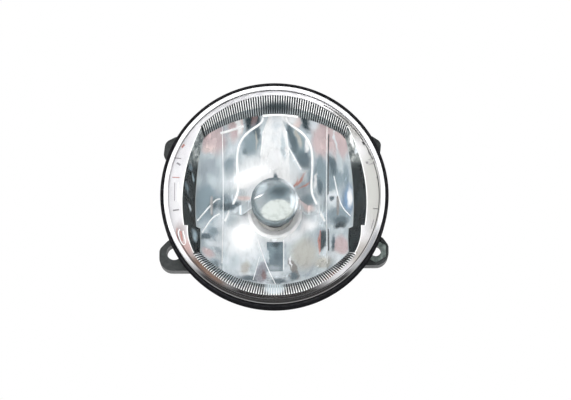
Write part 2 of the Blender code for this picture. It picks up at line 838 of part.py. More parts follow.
def make_bulb_shield():
    """A cup with a flat face and a rounded edge, and two legs that end in feet on the mirror surface."""
    face_back = SHIELD_FACE_Y + SHIELD_SHEET
    edge_y = SHIELD_FACE_Y + 1.2 * MM
    profile = [
        (0, SHIELD_FACE_Y),
        (SHIELD_FACE_RADIUS, SHIELD_FACE_Y),
        (SHIELD_FACE_RADIUS + 0.9 * MM, SHIELD_FACE_Y + 0.35 * MM),
        (SHIELD_RADIUS, edge_y),
        (SHIELD_RADIUS, SHIELD_BACK_Y),
        (SHIELD_RADIUS - SHIELD_SHEET, SHIELD_BACK_Y),
        (SHIELD_RADIUS - SHIELD_SHEET, edge_y + 0.3 * MM),
        (SHIELD_FACE_RADIUS - 0.2 * MM, face_back),
        (0, face_back),
    ]
    shield = turned("bulb_shield", profile, "chrome_trim", 24)
    for side in (-1, 1):
        join(shield, leg_tool(side))
        cut(shield, rivet_tool(side, "foot_rivet_hole", 0.9 * MM + GAP))
    return shade_smooth(shield)


def leg_tool(side):
    """One leg as a bent strip: down from the cup's wall, then along the mirror surface as a foot."""
    place, normal = rivet_frame(1)
    along = Vector((normal.y, -normal.x, 0))
    foot = place - normal * (GAP + SHIELD_SHEET / 2)
    middle = [
        Vector((SHIELD_RADIUS - SHIELD_SHEET / 2, SHIELD_BACK_Y - 2 * MM, 0)),
        Vector((SHIELD_RADIUS - SHIELD_SHEET / 2, SHIELD_BACK_Y + 1 * MM, 0)),
        foot - along * 2.6 * MM,
        foot + along * 2.6 * MM,
    ]
    near, far = [], []
    for i, point in enumerate(middle):
        before = middle[max(i - 1, 0)]
        after = middle[min(i + 1, len(middle) - 1)]
        heading = (after - before).normalized()
        across = Vector((heading.y, -heading.x, 0)) * SHIELD_SHEET / 2
        near.append(point - across)
        far.append(point + across)
    outline = [(side * point.x, point.y) for point in near + far[::-1]]
    strip = prism(f"shield_leg_{side}", outline, -LEG_WIDTH / 2, LEG_WIDTH / 2)
    strip.matrix_world = Matrix.Rotation(-math.pi / 2, 4, "X") @ strip.matrix_world
    return strip


def make_rivet(side, title):
    """A tubular rivet through the shield's foot and the reflector, with a head at each end."""
    place, normal = rivet_frame(side)
    head = 1.8 * MM
    shank = 0.9 * MM
    thickness = 0.7 * MM
    front = -(2 * GAP + SHIELD_SHEET)
    back = SHELL_THICKNESS + GAP
    profile = [
        (0, front - thickness),
        (head * 0.7, front - thickness),
        (head, front),
        (shank, front),
        (shank, back),
        (head, back),
        (head * 0.7, back + thickness),
        (0, back + thickness),
    ]
    rivet = turned(title, profile, "zinc_steel", SMALL)
    turn = Vector((0, 1, 0)).rotation_difference(normal).to_matrix().to_4x4()
    rivet.matrix_world = Matrix.Translation(place) @ turn @ Matrix.Rotation(math.pi / 2, 4, "X")
    return shade_smooth(rivet)


def make_pivot_stud(side, title):
    """A ball stud that stands out of the reflector's side arm."""
    steps = 6
    neck = 1.6 * MM
    first = math.asin(neck / BALL_RADIUS)
    ball = []
    for i in range(steps + 1):
        angle = first + (math.pi - first) * i / steps
        ball.append((BALL_RADIUS * math.sin(angle), BALL_X - BALL_RADIUS * math.cos(angle)))
    ball[-1] = (0, BALL_X + BALL_RADIUS)
    profile = [
        (0, PIVOT_ARM_X - 4 * MM),
        (1.7 * MM, PIVOT_ARM_X - 4 * MM),
        (1.7 * MM, PIVOT_ARM_X + GAP),
        (2.2 * MM, PIVOT_ARM_X + GAP),
        (2.2 * MM, PIVOT_ARM_X + 1 * MM),
        (neck, PIVOT_ARM_X + 1 * MM),
        *ball,
    ]
    return shade_smooth(turned_sideways(title, profile, side, FILAMENT_Y, "natural_nylon"))


def make_adjuster_nut():
    """A snap-in nut with a flange on each side of the reflector's lug."""
    bore = SCREW_RADIUS + 0.4 * MM
    front = NUT_LUG_Y[0] - GAP
    back = NUT_LUG_Y[1] + GAP
    profile = [
        (bore, front - 1.6 * MM),
        (4.6 * MM, front - 1.6 * MM),
        (4.6 * MM, front),
        (3.3 * MM, front),
        (3.3 * MM, back),
        (4.1 * MM, back),
        (3.6 * MM, back + 0.9 * MM),
        (bore, back + 0.9 * MM),
    ]
    return turned("adjuster_nut", profile, "natural_nylon", SMALL, 0, ADJUSTER_Z)


# ---------------------------------------------------------------- adjuster


def make_adjuster_screw():
    """A long screw with a flanged hexagon head behind the housing, and a cross slot in the head."""
    flange_front = BOSS_BACK_Y + GAP
    profile = [
        (0, SCREW_TIP_Y),
        (SCREW_RADIUS - 0.6 * MM, SCREW_TIP_Y),
        (SCREW_RADIUS, SCREW_TIP_Y + 0.8 * MM),
        (SCREW_RADIUS, flange_front),
        (6.0 * MM, flange_front),
        (6.0 * MM, flange_front + 1.4 * MM),
        (0, flange_front + 1.4 * MM),
    ]
    screw = turned("adjuster_screw", profile, "natural_nylon", SMALL, 0, ADJUSTER_Z)
    screw.rotation_euler.y = math.pi / SMALL
    head_back = flange_front + 7.0 * MM
    head = prism("adjuster_head", hexagon(8.0 * MM, 0, ADJUSTER_Z), flange_front + 1.0 * MM, head_back)
    join(screw, head)
    for i, (half_x, half_z) in enumerate(((2.6 * MM, 0.6 * MM), (0.6 * MM, 2.6 * MM))):
        slot = box(
            f"driver_slot_{i}",
            (-half_x, head_back - 2.5 * MM, ADJUSTER_Z - half_z),
            (half_x, head_back + 1 * MM, ADJUSTER_Z + half_z),
        )
        cut(screw, slot)
    return screw


def make_adjuster_seal():
    """The O-ring round the screw, in the boss's seat."""
    section = 0.85 * MM
    centre_radius = SCREW_RADIUS + GAP + section
    centre_y = BOSS_BACK_Y - 2.2 * MM + GAP + section
    bpy.ops.mesh.primitive_torus_add(
        major_segments=SMALL,
        minor_segments=8,
        major_radius=centre_radius,
        minor_radius=section,
        location=(0, centre_y, ADJUSTER_Z),
        rotation=(math.pi / 2, 0, 0),
    )
    return shade_smooth(adopt(bpy.context.object, "adjuster_seal", "black_rubber"))


def make_adjuster_retainer():
    """The push-on steel washer that keeps the screw in its boss."""
    inner = SCREW_RADIUS + GAP
    back = BOSS_FRONT_Y + 0.5 * MM - GAP
    profile = [
        (inner, back - 1.0 * MM),
        (4.6 * MM, back - 0.6 * MM),
        (4.6 * MM, back),
        (inner, back - 0.4 * MM),
    ]
    return turned("adjuster_retainer", profile, "zinc_steel", SMALL, 0, ADJUSTER_Z)


# ---------------------------------------------------------------- bulb


def make_bulb_base():
    """The bulb's plastic base: bayonet lugs, seal groove, rear flange and the electrical socket."""
    groove = (REFERENCE_PLANE_Y + 1.4 * MM, REFERENCE_PLANE_Y + 4.2 * MM)
    seat = 12.9 * MM
    shaft = BAYONET_HOLE_RADIUS - 0.5 * MM
    profile = [
        (0, BASE_FRONT_Y),
        (shaft, BASE_FRONT_Y),
        (shaft, REFERENCE_PLANE_Y + GAP),
        (seat, REFERENCE_PLANE_Y + GAP),
        (seat, groove[0]),
        (10.6 * MM, groove[0]),
        (10.6 * MM, groove[1]),
        (seat, groove[1]),
        (seat, COLLAR_END_Y + GAP),
        (COLLAR_RADIUS, COLLAR_END_Y + GAP),
        (COLLAR_RADIUS, SOCKET_FRONT_Y + 0.5 * MM),
        (0, SOCKET_FRONT_Y + 0.5 * MM),
    ]
    base = turned("bulb_base", profile, "black_plastic", MEDIUM)
    shell = box(
        "socket_body",
        (-SOCKET_HALF_WIDTH, SOCKET_FRONT_Y, SOCKET_MOUTH_Z),
        (SOCKET_HALF_WIDTH, SOCKET_BACK_Y, SOCKET_TOP_Z),
    )
    round_edges(shell, 1.2 * MM)
    latch = box(
        "socket_latch",
        (-3 * MM, SOCKET_BACK_Y - 0.5 * MM, SOCKET_MOUTH_Z + 4 * MM),
        (3 * MM, SOCKET_BACK_Y + 1.6 * MM, SOCKET_MOUTH_Z + 6.5 * MM),
    )
    join(base, shell, latch, *bayonet_lugs(), *grip_ribs())
    cut(base, *socket_cutters())
    return shade_smooth(base)


def bayonet_lugs():
    made = []
    for i in range(BAYONET_LUGS):
        lug = box(
            f"bayonet_lug_{i}",
            (BAYONET_HOLE_RADIUS - 2 * MM, REFERENCE_PLANE_Y - BAYONET_WALL - 2.8 * MM, -2.5 * MM),
            (BAYONET_LUG_RADIUS, REFERENCE_PLANE_Y - BAYONET_WALL - GAP, 2.5 * MM),
        )
        angle = FIRST_LUG_ANGLE + 2 * math.pi * i / BAYONET_LUGS
        lug.matrix_world = Matrix.Rotation(-angle, 4, "Y") @ lug.matrix_world
        made.append(lug)
    return made


def grip_ribs():
    """Finger ribs across both sides of the socket's upper half."""
    made = []
    for side in (-1, 1):
        for i in range(4):
            y = SOCKET_FRONT_Y + (3.5 + 2.7 * i) * MM
            inner, outer = side * (SOCKET_HALF_WIDTH - 1 * MM), side * (SOCKET_HALF_WIDTH + 0.8 * MM)
            low, high = min(inner, outer), max(inner, outer)
            made.append(box(f"grip_{side}_{i}", (low, y, -5 * MM), (high, y + 1.2 * MM, 7 * MM)))
    return made


def socket_cutters():
    """The socket's cavity and the two slots in its floor that hold the terminals."""
    middle_y = (SOCKET_FRONT_Y + SOCKET_BACK_Y) / 2
    made = [
        box(
            "socket_cavity",
            (-SOCKET_HALF_WIDTH + SOCKET_WALL, SOCKET_FRONT_Y + SOCKET_WALL, SOCKET_MOUTH_Z - 2 * MM),
            (SOCKET_HALF_WIDTH - SOCKET_WALL, SOCKET_BACK_Y - SOCKET_WALL, SOCKET_FLOOR_Z),
        )
    ]
    for side in (-1, 1):
        half_width = TERMINAL_WIDTH / 2 + GAP
        half_thickness = TERMINAL_THICKNESS / 2 + GAP
        made.append(
            box(
                f"terminal_slot_{side}",
                (side * TERMINAL_X - half_width, middle_y - half_thickness, SOCKET_FLOOR_Z - 1 * MM),
                (side * TERMINAL_X + half_width, middle_y + half_thickness, SOCKET_FLOOR_Z + 4.5 * MM),
            )
        )
    return made


def make_terminal(side, title):
    middle_y = (SOCKET_FRONT_Y + SOCKET_BACK_Y) / 2
    half_width, half_thickness = TERMINAL_WIDTH / 2, TERMINAL_THICKNESS / 2
    return box(
        title,
        (side * TERMINAL_X - half_width, middle_y - half_thickness, SOCKET_MOUTH_Z + 4 * MM),
        (side * TERMINAL_X + half_width, middle_y + half_thickness, SOCKET_FLOOR_Z + 4.2 * MM),
        "tinned_copper",
    )


def make_bulb_seal():
    """The O-ring in the base's groove, which seals the collar."""
    section = 1.1 * MM
    bpy.ops.mesh.primitive_torus_add(
        major_segments=MEDIUM,
        minor_segments=8,
        major_radius=SEAL_TUBE_RADIUS - GAP - section,
        minor_radius=section,
        location=(0, REFERENCE_PLANE_Y + 2.8 * MM, 0),
        rotation=(math.pi / 2, 0, 0),
    )
    return shade_smooth(adopt(bpy.context.object, "bulb_seal", "black_rubber"))


def make_bulb_glass():
    """A round-ended tube, open at its foot, where it sits in the ferrule."""
    wall = 0.8 * MM
    foot = BASE_FRONT_Y - 0.6 * MM
    steps = 5
    angles = [math.pi / 2 * i / steps for i in range(steps + 1)]
    outer = [
        (GLASS_RADIUS * math.sin(a), GLASS_TIP_Y + GLASS_RADIUS * (1 - math.cos(a))) for a in angles
    ]
    hollow = GLASS_RADIUS - wall
    inner = [
        (hollow * math.sin(a), GLASS_TIP_Y + wall + hollow * (1 - math.cos(a))) for a in reversed(angles)
    ]
    outer[0] = (0, GLASS_TIP_Y)
    inner[-1] = (0, GLASS_TIP_Y + wall)
    profile = [*outer, (GLASS_RADIUS, foot), (hollow, foot), *inner]
    return shade_smooth(turned("bulb_glass", profile, "bulb_glass", SMALL))


def make_bulb_ferrule():
    """The metal ring that holds the glass to the base."""
    inner = GLASS_RADIUS + GAP
    front, back = BASE_FRONT_Y - 7.0 * MM, BASE_FRONT_Y - GAP
    profile = [
        (inner, front),
        (7.6 * MM, front),
        (7.6 * MM, back - 2.5 * MM),
        (8.6 * MM, back - 1.8 * MM),
        (8.6 * MM, back),
        (inner, back),
    ]
    return shade_smooth(turned("bulb_ferrule", profile, "zinc_steel", SMALL))


def make_filament():
    """An axial coil centred on the reflector's focus."""
    turns, per_turn = 6, 8
    length, radius = 5.0 * MM, 0.85 * MM
    count = turns * per_turn
    points = []
    for i in range(count + 1):
        angle = 2 * math.pi * i / per_turn
        y = FILAMENT_Y - length / 2 + length * i / count
        points.append((radius * math.cos(angle), y, radius * math.sin(angle)))
    return wire("filament", points, 0.16 * MM, "filament_wire")


def make_leads():
    """Two support wires, from the coil's ends to the base. The front one runs back beside the coil."""
    foot = BASE_FRONT_Y - GAP
    front = FILAMENT_Y - 2.5 * MM
    back = FILAMENT_Y + 2.5 * MM
    coil = 0.85 * MM
    long_lead = [
        (coil + 0.6 * MM, front - 0.5 * MM, 0),
        (3.4 * MM, front - 1.5 * MM, 0),
        (3.9 * MM, front + 1.5 * MM, 0),
        (3.0 * MM, foot, 0),
    ]
    short_lead = [(coil - 0.4 * MM, back + 0.8 * MM, 0), (-2.0 * MM, back + 4 * MM, 0), (-3.0 * MM, foot, 0)]
    wire("lead_front", long_lead, 0.35 * MM, "filament_wire")
    wire("lead_rear", short_lead, 0.35 * MM, "filament_wire")


# ---------------------------------------------------------------- the whole light

PARTS, TOOLS = clear_scene()
make_housing()
make_lens()
make_lens_seal()
make_bezel()
make_captive_nut()
make_vent_cap()
make_vent_membrane()
make_reflector()
make_bulb_shield()
make_adjuster_nut()
for hand, name in ((-1, "left"), (1, "right")):
    make_pivot_cup(hand, f"pivot_cup_{name}")
    make_pivot_stud(hand, f"pivot_stud_{name}")
    make_rivet(hand, f"shield_rivet_{name}")
    make_terminal(hand, f"terminal_{name}")
make_adjuster_screw()
make_adjuster_seal()
make_adjuster_retainer()
make_bulb_base()
make_bulb_seal()
make_bulb_glass()
make_bulb_ferrule()
make_filament()
make_leads()
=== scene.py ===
"""Looks of a round front fog light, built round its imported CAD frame. The light shines towards -Y."""

from math import asin, atan2, cos, hypot, pi, radians, sin, sqrt, tan

import bmesh
import bpy
from mathutils import Matrix, Quaternion, Vector
from mathutils.geometry import tessellate_polygon


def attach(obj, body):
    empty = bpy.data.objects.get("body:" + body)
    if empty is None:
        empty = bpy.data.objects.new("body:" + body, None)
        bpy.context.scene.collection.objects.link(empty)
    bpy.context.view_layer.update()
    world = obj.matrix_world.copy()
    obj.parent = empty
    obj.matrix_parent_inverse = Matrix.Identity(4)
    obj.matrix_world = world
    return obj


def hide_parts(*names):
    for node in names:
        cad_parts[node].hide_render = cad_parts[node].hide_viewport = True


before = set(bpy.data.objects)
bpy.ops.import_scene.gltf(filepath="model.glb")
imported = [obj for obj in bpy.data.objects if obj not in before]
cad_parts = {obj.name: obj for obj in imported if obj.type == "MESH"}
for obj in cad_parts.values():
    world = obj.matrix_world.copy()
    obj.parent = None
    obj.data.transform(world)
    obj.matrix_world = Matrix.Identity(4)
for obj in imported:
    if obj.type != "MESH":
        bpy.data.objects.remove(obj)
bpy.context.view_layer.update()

MM = 0.001

# Camera: distance to the rim's front plane, how far below the optical axis it looks from, and its aim.
CAMERA_DISTANCE = 900 * MM
CAMERA_ELEVATION = radians(-10.6)
CAMERA_LENS = 144.2
CAMERA_RIGHT = 4.36 * MM
CAMERA_DOWN = 2.30 * MM

# Housing sizes, as in the CAD.
RIM_RADIUS = 45.0
RIM_FRONT = -12.0
BODY_RADIUS = 41.0
BODY_END = 19.5
WALL = 2.0
COLLAR_RADIUS = 16.5
COLLAR_END = 48.5
ADJUSTER_Z = -31.0
EAR_LEFT = (-39.8, -21.3)
EAR_RIGHT = (40.2, -20.6)

# Lens.
LENS_APEX = -19.5
LENS_EDGE = 42.0
LENS_EDGE_Y = -13.0
LENS_THICKNESS = 2.4

# Bezel: a shallow cone outside, and an opening that slopes in to the window in front of the reflector.
BEZEL_EDGE = 42.1
BEZEL_EDGE_Y = -10.2
BEZEL_SLOPE = 0.25
WINDOW_Y = -5.3
UPPER_FLUTES = 66
LOWER_FLUTES = 74
STEP_Z = -11.8
# Outer edges of the fluted arcs, as (z of the centre, radius).
UPPER_CIRCLE = (0.5, 40.0)
LOWER_CIRCLE = (0.2, 39.4)

# Reflector.
VERTEX = 29.0
FOCUS = 11.0
MIRROR_RADIUS = 37.2
MIRROR_TOP = 35.3
MIRROR_HALF_WIDTH = 33.3
HOLE_RADIUS = 9.8
CREASE_X = 21.0
# The middle strip is painted with a bright reflection above its foot, and with a dark reflection between two
# heights.
COLUMN_FOOT = 8.0
PAINTED_DARK_PANE = (-26.5, -12.5)

# Half-widths over height, as (z, x), of the mirror's arch and of the column in its middle.
ARCH = ((34, 4.6), (32.6, 5.2), (31.5, 6.8), (30.2, 9.2), (28.5, 11.6), (26.5, 13.4), (24, 14.7))
ARCH += ((21, 15.3), (17, 15.3), (8, 14.8), (4.2, 16.2), (0, 18.2), (-5.5, 20.4), (-8, 20.8))
COLUMN = ((34, 2.6), (33.2, 3.1), (29.8, 4.7), (21.5, 5.8), (12, 6.2), (0, 4.2), (-10, 3.3))
COLUMN += ((-36, 3.3),)
# The mirror's strips, from the middle outwards: how far each is hollowed (raised if negative), and its cells.
STRIP_HOLLOW = (0.35, -0.7, 0.8, -1.0)
STRIP_CELLS = (8, 10, 8, 10)

# The CAD body that each slot's pieces ride on, and the materials by name.
BODIES = {"housing": "housing", "lens": "housing", "bezel": "housing", "reflector": "reflector"}
LOOKS = {}


# -------- mesh helpers, all in millimetres


def piece(name, mesh, slot, finishes, sharp=35, replaces=(), facing=None):
    """Make an object of a bmesh, shade it smooth up to an angle, and put it on its CAD body.

    The finishes are names in LOOKS, in the order of the mesh's material numbers. facing, for an open sheet,
    gives the side that each face should show, as a direction over its centre.
    """
    limit = radians(sharp)
    bmesh.ops.recalc_face_normals(mesh, faces=mesh.faces)
    if facing:
        turned = [face for face in mesh.faces if face.normal.dot(facing(face.calc_center_median())) < 0]
        bmesh.ops.reverse_faces(mesh, faces=turned)
    for face in mesh.faces:
        face.smooth = True
    for edge in mesh.edges:
        edge.smooth = len(edge.link_faces) == 2 and edge.calc_face_angle(0) < limit
    mesh.transform(Matrix.Scale(MM, 4))
    made = mesh_object(name, mesh)
    for finish in finishes:
        made.data.materials.append(LOOKS[finish])
    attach(made, BODIES[slot])
    if replaces:
        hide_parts(*replaces)
    return made


def mesh_object(name, mesh):
    """Put a bmesh in the scene as an object, and free it."""
    data = bpy.data.meshes.new(name)
    mesh.to_mesh(data)
    mesh.free()
    return in_scene(name, data)


def in_scene(name, data):
    """A new object of some data, linked to the scene."""
    made = bpy.data.objects.new(name, data)
    bpy.context.scene.collection.objects.link(made)
    return made


def finish_outside(mesh, radius):
    """Give the second finish to the faces whose centres lie further than a radius from the optical axis."""
    for face in mesh.faces:
        centre = face.calc_center_median()
        if hypot(centre.x, centre.z) > radius:
            face.material_index = 1


def revolve(profile, segments, x=0.0, z=0.0):
    """Turn a profile of (radius, y) about the axis parallel to Y through (x, z). It closes on itself."""
    mesh = bmesh.new()
    rings = []
    for radius, y in profile:
        points = circle((x, z), radius, segments) if radius > 0 else [(x, z)]
        rings.append(loop(mesh, points, y))
    pairs = list(zip(rings, rings[1:]))
    if len(rings[0]) > 1 and len(rings[-1]) > 1:
        pairs.append((rings[-1], rings[0]))
    for first, second in pairs:
        bridge(mesh, first, second)
    return mesh


def circle(centre, radius, count, turn=0.0):
    """Points (x, z) on a circle, the first turned by an angle in degrees."""
    points = []
    for i in range(count):
        angle = radians(turn) + 2 * pi * i / count
        points.append((centre[0] + radius * cos(angle), centre[1] + radius * sin(angle)))
    return points


def loop(mesh, points, y):
    """New vertices at (x, z) points, all at one depth."""
    return [mesh.verts.new((x, y, z)) for x, z in points]


def bridge(mesh, first, second, material=0):
    """Faces between two closed rows of vertices. A row may be a single vertex."""
    count = max(len(first), len(second))
    for i in range(count):
        j = (i + 1) % count
        corners = []
        for row, place in ((first, i), (first, j), (second, j), (second, i)):
            if row[place % len(row)] not in corners:
                corners.append(row[place % len(row)])
        if len(corners) > 2:
            mesh.faces.new(corners).material_index = material


def rounded(corners, steps=8):
    """Outline points of a polygon whose corners, given as (x, z, radius), are rounded by arcs."""
    points = []
    count = len(corners)
    for i, (x, z, radius) in enumerate(corners):
        here = Vector((x, z))
        before = (Vector(corners[i - 1][:2]) - here).normalized()
        after = (Vector(corners[(i + 1) % count][:2]) - here).normalized()
        half = before.angle(after) / 2
        centre = here + (before + after).normalized() * (radius / sin(half))
        first = here + before * (radius / tan(half)) - centre
        last = here + after * (radius / tan(half)) - centre
        swing = first.angle_signed(last)
        for step in range(steps + 1):
            points.append(tuple(centre + Matrix.Rotation(-swing * step / steps, 2) @ first))
    return points


def prism(outline, front, back):
    """A closed outline of (x, z) points, given thickness from y = front to y = back."""
    mesh = bmesh.new()
    near, far = loop(mesh, outline, front), loop(mesh, outline, back)
    mesh.faces.new(near)
    mesh.faces.new(far)
    bridge(mesh, near, far)
    return mesh


def box(mesh, low, high):
    """Add a box between two corners to a mesh."""
    made = bmesh.ops.create_cube(mesh, size=1)
    size = Vector(high) - Vector(low)
    bmesh.ops.scale(mesh, vec=size, verts=made["verts"])
    bmesh.ops.translate(mesh, vec=(Vector(low) + Vector(high)) / 2, verts=made["verts"])


def bevel(obj, width, segments=2):
    """Round a piece's sharp edges."""
    step = obj.modifiers.new("rounded_edges", "BEVEL")
    step.width = width * MM
    step.segments = segments
    step.limit_method = "ANGLE"
    step.angle_limit = radians(30)


def thicken(obj, thickness):
    """Give a sheet its thickness behind the side that shows."""
    step = obj.modifiers.new("thickness", "SOLIDIFY")
    step.thickness = thickness * MM
    step.offset = -1
    return step


# -------- materials


class Nodes:
    """Short forms for building a node tree."""

    def __init__(self, tree):
        self.tree = tree

    def add(self, kind, inputs=None, **settings):
        """A new node with its settings, and with its inputs fed by name or number."""
        node = self.tree.nodes.new(kind)
        for key, value in settings.items():
            setattr(node, key, value)
        for key, value in (inputs or {}).items():
            self.feed(value, node.inputs[key])
        return node

    def feed(self, value, socket):
        """Link an output to a socket, or set the socket to a value or an opaque colour."""
        if isinstance(value, bpy.types.NodeSocket):
            self.tree.links.new(value, socket)
        else:
            socket.default_value = (*value, 1) if socket.type == "RGBA" else value

    def mix(self, share, first, second, blend="MIX"):
        """Mix two colours, each a tuple or an output."""
        inputs = {0: share, 6: first, 7: second}
        return self.add("ShaderNodeMix", inputs, data_type="RGBA", blend_type=blend).outputs[2]

    def fade(self, source, low, high):
        """0 to 1, smoothly, as a source goes from low to high."""
        inputs = {"Value": source, "From Min": low, "From Max": high}
        return self.add("ShaderNodeMapRange", inputs, interpolation_type="SMOOTHSTEP").outputs[0]


class Paint(Nodes):
    """A Principled material, kept in LOOKS, whose detail comes from nodes in the object's coordinates.

    Roughness is one value, or blotches between two values: (scale, low, high), with or without a stretch.
    """

    def __init__(self, name, roughness, metallic=0.0, specular=0.5, **sockets):
        material = bpy.data.materials.new(name + "_look")
        material.use_nodes = True
        super().__init__(material.node_tree)
        LOOKS[name] = material
        self.shader = self.tree.nodes["Principled BSDF"]
        self.place = self.add("ShaderNodeTexCoord").outputs["Object"]
        self.strayed = self.place
        if isinstance(roughness, tuple):
            roughness = self.blotches(*roughness, low=0.3, high=0.7)
        sockets.update(Roughness=roughness, Metallic=metallic, Specular_IOR_Level=specular)
        for title, value in sockets.items():
            self.feed(value, self.shader.inputs[title.replace("_", " ")])

    def noise(self, scale, detail=4.0, stretch=(1, 1, 1), roughness=0.55, output="Fac"):
        """Noise over the object; scale is in features per metre."""
        squeezed = self.add("ShaderNodeMapping", {"Scale": stretch, "Vector": self.place}).outputs["Vector"]
        inputs = {"Scale": scale, "Detail": detail, "Roughness": roughness, "Vector": squeezed}
        return self.add("ShaderNodeTexNoise", inputs).outputs[output]

    def ramp(self, source, stops):
        """Colours or grey values along a 0 to 1 source."""
        node = self.add("ShaderNodeValToRGB", {"Fac": source})
        ramp = node.color_ramp
        while len(ramp.elements) < len(stops):
            ramp.elements.new(0.5)
        for element, (place, colour) in zip(ramp.elements, stops):
            element.position = place
            grey = (colour,) * 3 if isinstance(colour, (int, float)) else colour
            element.color = (*grey, 1)
        return node.outputs["Color"]

    def blotches(self, scale, dark, light, stretch=(1, 1, 1), low=0.35, high=0.65):
        """Soft patches between two colours or values."""
        return self.ramp(self.noise(scale, stretch=stretch), ((low, dark), (high, light)))

    def stray(self, scale, reach):
        """From here on, let the outlines of tints wander by up to a reach in millimetres."""
        noise = self.noise(scale, roughness=0.5, output="Color")
        inputs = {0: noise, 1: (2 * reach * MM,) * 3, 2: (-reach * MM,) * 3}
        step = self.add("ShaderNodeVectorMath", inputs, operation="MULTIPLY_ADD").outputs[0]
        total = self.add("ShaderNodeVectorMath", {0: step, 1: self.strayed}, operation="ADD")
        self.strayed = total.outputs[0]

    def near(self, x, z, rx, rz, soft, angle=0):
        """1 about (x, z), falling to 0 at the edge of an ellipse a tenth wider than its half-axes rx and rz.

        Lengths are in millimetres and the angle in degrees. The softer, the further in the fall starts.
        """
        inputs = {"Vector": self.strayed, "Location": (x * MM, 0, z * MM)}
        inputs["Rotation"] = (0, -radians(angle), 0)
        inputs["Scale"] = (rx * 1.1 * MM, 1e3, rz * 1.1 * MM)
        spot = self.add("ShaderNodeMapping", inputs, vector_type="TEXTURE").outputs["Vector"]
        reach = self.add("ShaderNodeVectorMath", {0: spot}, operation="LENGTH").outputs["Value"]
        return self.fade(reach, 1.0, 1.0 - soft)

    def tint(self, base, spots):
        """Lay elliptical tints over a colour. Each is a colour and the arguments of near()."""
        for colour, *place in spots:
            base = self.mix(self.near(*place), base, colour)
        return base

    def axis(self, name, low, high):
        """0 to 1 along one of the object's axes, from low to high, in millimetres."""
        split = self.add("ShaderNodeSeparateXYZ", {0: self.place})
        return self.fade(split.outputs[name], low * MM, high * MM)

    def colour(self, source):
        self.feed(source, self.shader.inputs["Base Color"])

    def relief(self, scale, height, detail=4.0, stretch=(1, 1, 1)):
        """Bump; height is in millimetres."""
        inputs = {"Distance": height * MM, "Strength": 1.0, "Height": self.noise(scale, detail, stretch)}
        self.feed(self.add("ShaderNodeBump", inputs).outputs["Normal"], self.shader.inputs["Normal"])


def tone(red, green, blue):
    """A colour given on the usual 0 to 255 scale, as Blender's linear values."""
    return tuple(((v / 255 + 0.055) / 1.055) ** 2.4 if v > 10 else v / 3294.6 for v in (red, green, blue))


def darker(colour):
    return tuple(v * 0.8 for v in colour)


# Plain finishes: name, roughness, metallic, specular, scale and two tones of the blotches, and the relief, if
# any, as (scale, height, detail).
PLAIN_FINISHES = (
    ("black_plastic", (160, 0.34, 0.52), 0, 0.15, 900, (0.013, 0.015, 0.015), (0.024, 0.027, 0.027),
     (4200, 0.02, 2)),
    ("rim_plastic", (220, 0.22, 0.38), 0, 0.45, 60, (0.008, 0.008, 0.009), (0.017, 0.017, 0.018),
     (2600, 0.006, 2)),
    # edge_line is near white: the painted highlights on edges, creases, caps and the neck, and a few pale
    # marks.
    ("edge_line", 0.3, 0, 0.5, 200, tone(226, 227, 227), tone(252, 252, 251)),
    ("moulded_grey", 0.5, 0, 0.5, 120, (0.16, 0.16, 0.16), (0.24, 0.24, 0.24), (1800, 0.02)),
    ("zinc_steel", (500, 0.25, 0.45), 1, 0.5, 400, (0.50, 0.50, 0.48), (0.70, 0.69, 0.65), (1500, 0.01)),
    ("dull_zinc", 0.5, 0.5, 0.5, 500, tone(52, 60, 58), tone(112, 122, 118), (1500, 0.02)),
    ("black_rubber", 0.75, 0, 0.5, 200, (0.014, 0.014, 0.014), (0.03, 0.03, 0.03), (3000, 0.03)),
    ("vent_fabric", 0.9, 0, 0.5, 900, (0.70, 0.70, 0.68), (0.86, 0.86, 0.84), (4000, 0.04)),
    ("drawn_wire", 0.35, 1, 0.5, 800, (0.26, 0.25, 0.25), (0.42, 0.41, 0.40)),
    ("tinned_copper", 0.28, 1, 0.5, 600, (0.68, 0.66, 0.62), (0.84, 0.82, 0.78), (1200, 0.01)),
    ("pale_floor", 0.7, 0, 0.5, 3, (0.84, 0.84, 0.84), (0.88, 0.88, 0.88)),
)
MARKS = {"mark_grey": tone(122, 120, 124), "mark_rose": tone(170, 116, 108), "mark_dark": tone(46, 46, 48)}


def plain_finish(name, roughness, metallic, specular, scale, dark, light, relief=None, **sockets):
    paint = Paint(name, roughness, metallic, specular, **sockets)
    paint.colour(paint.blotches(scale, dark, light))
    if relief:
        paint.relief(*relief)


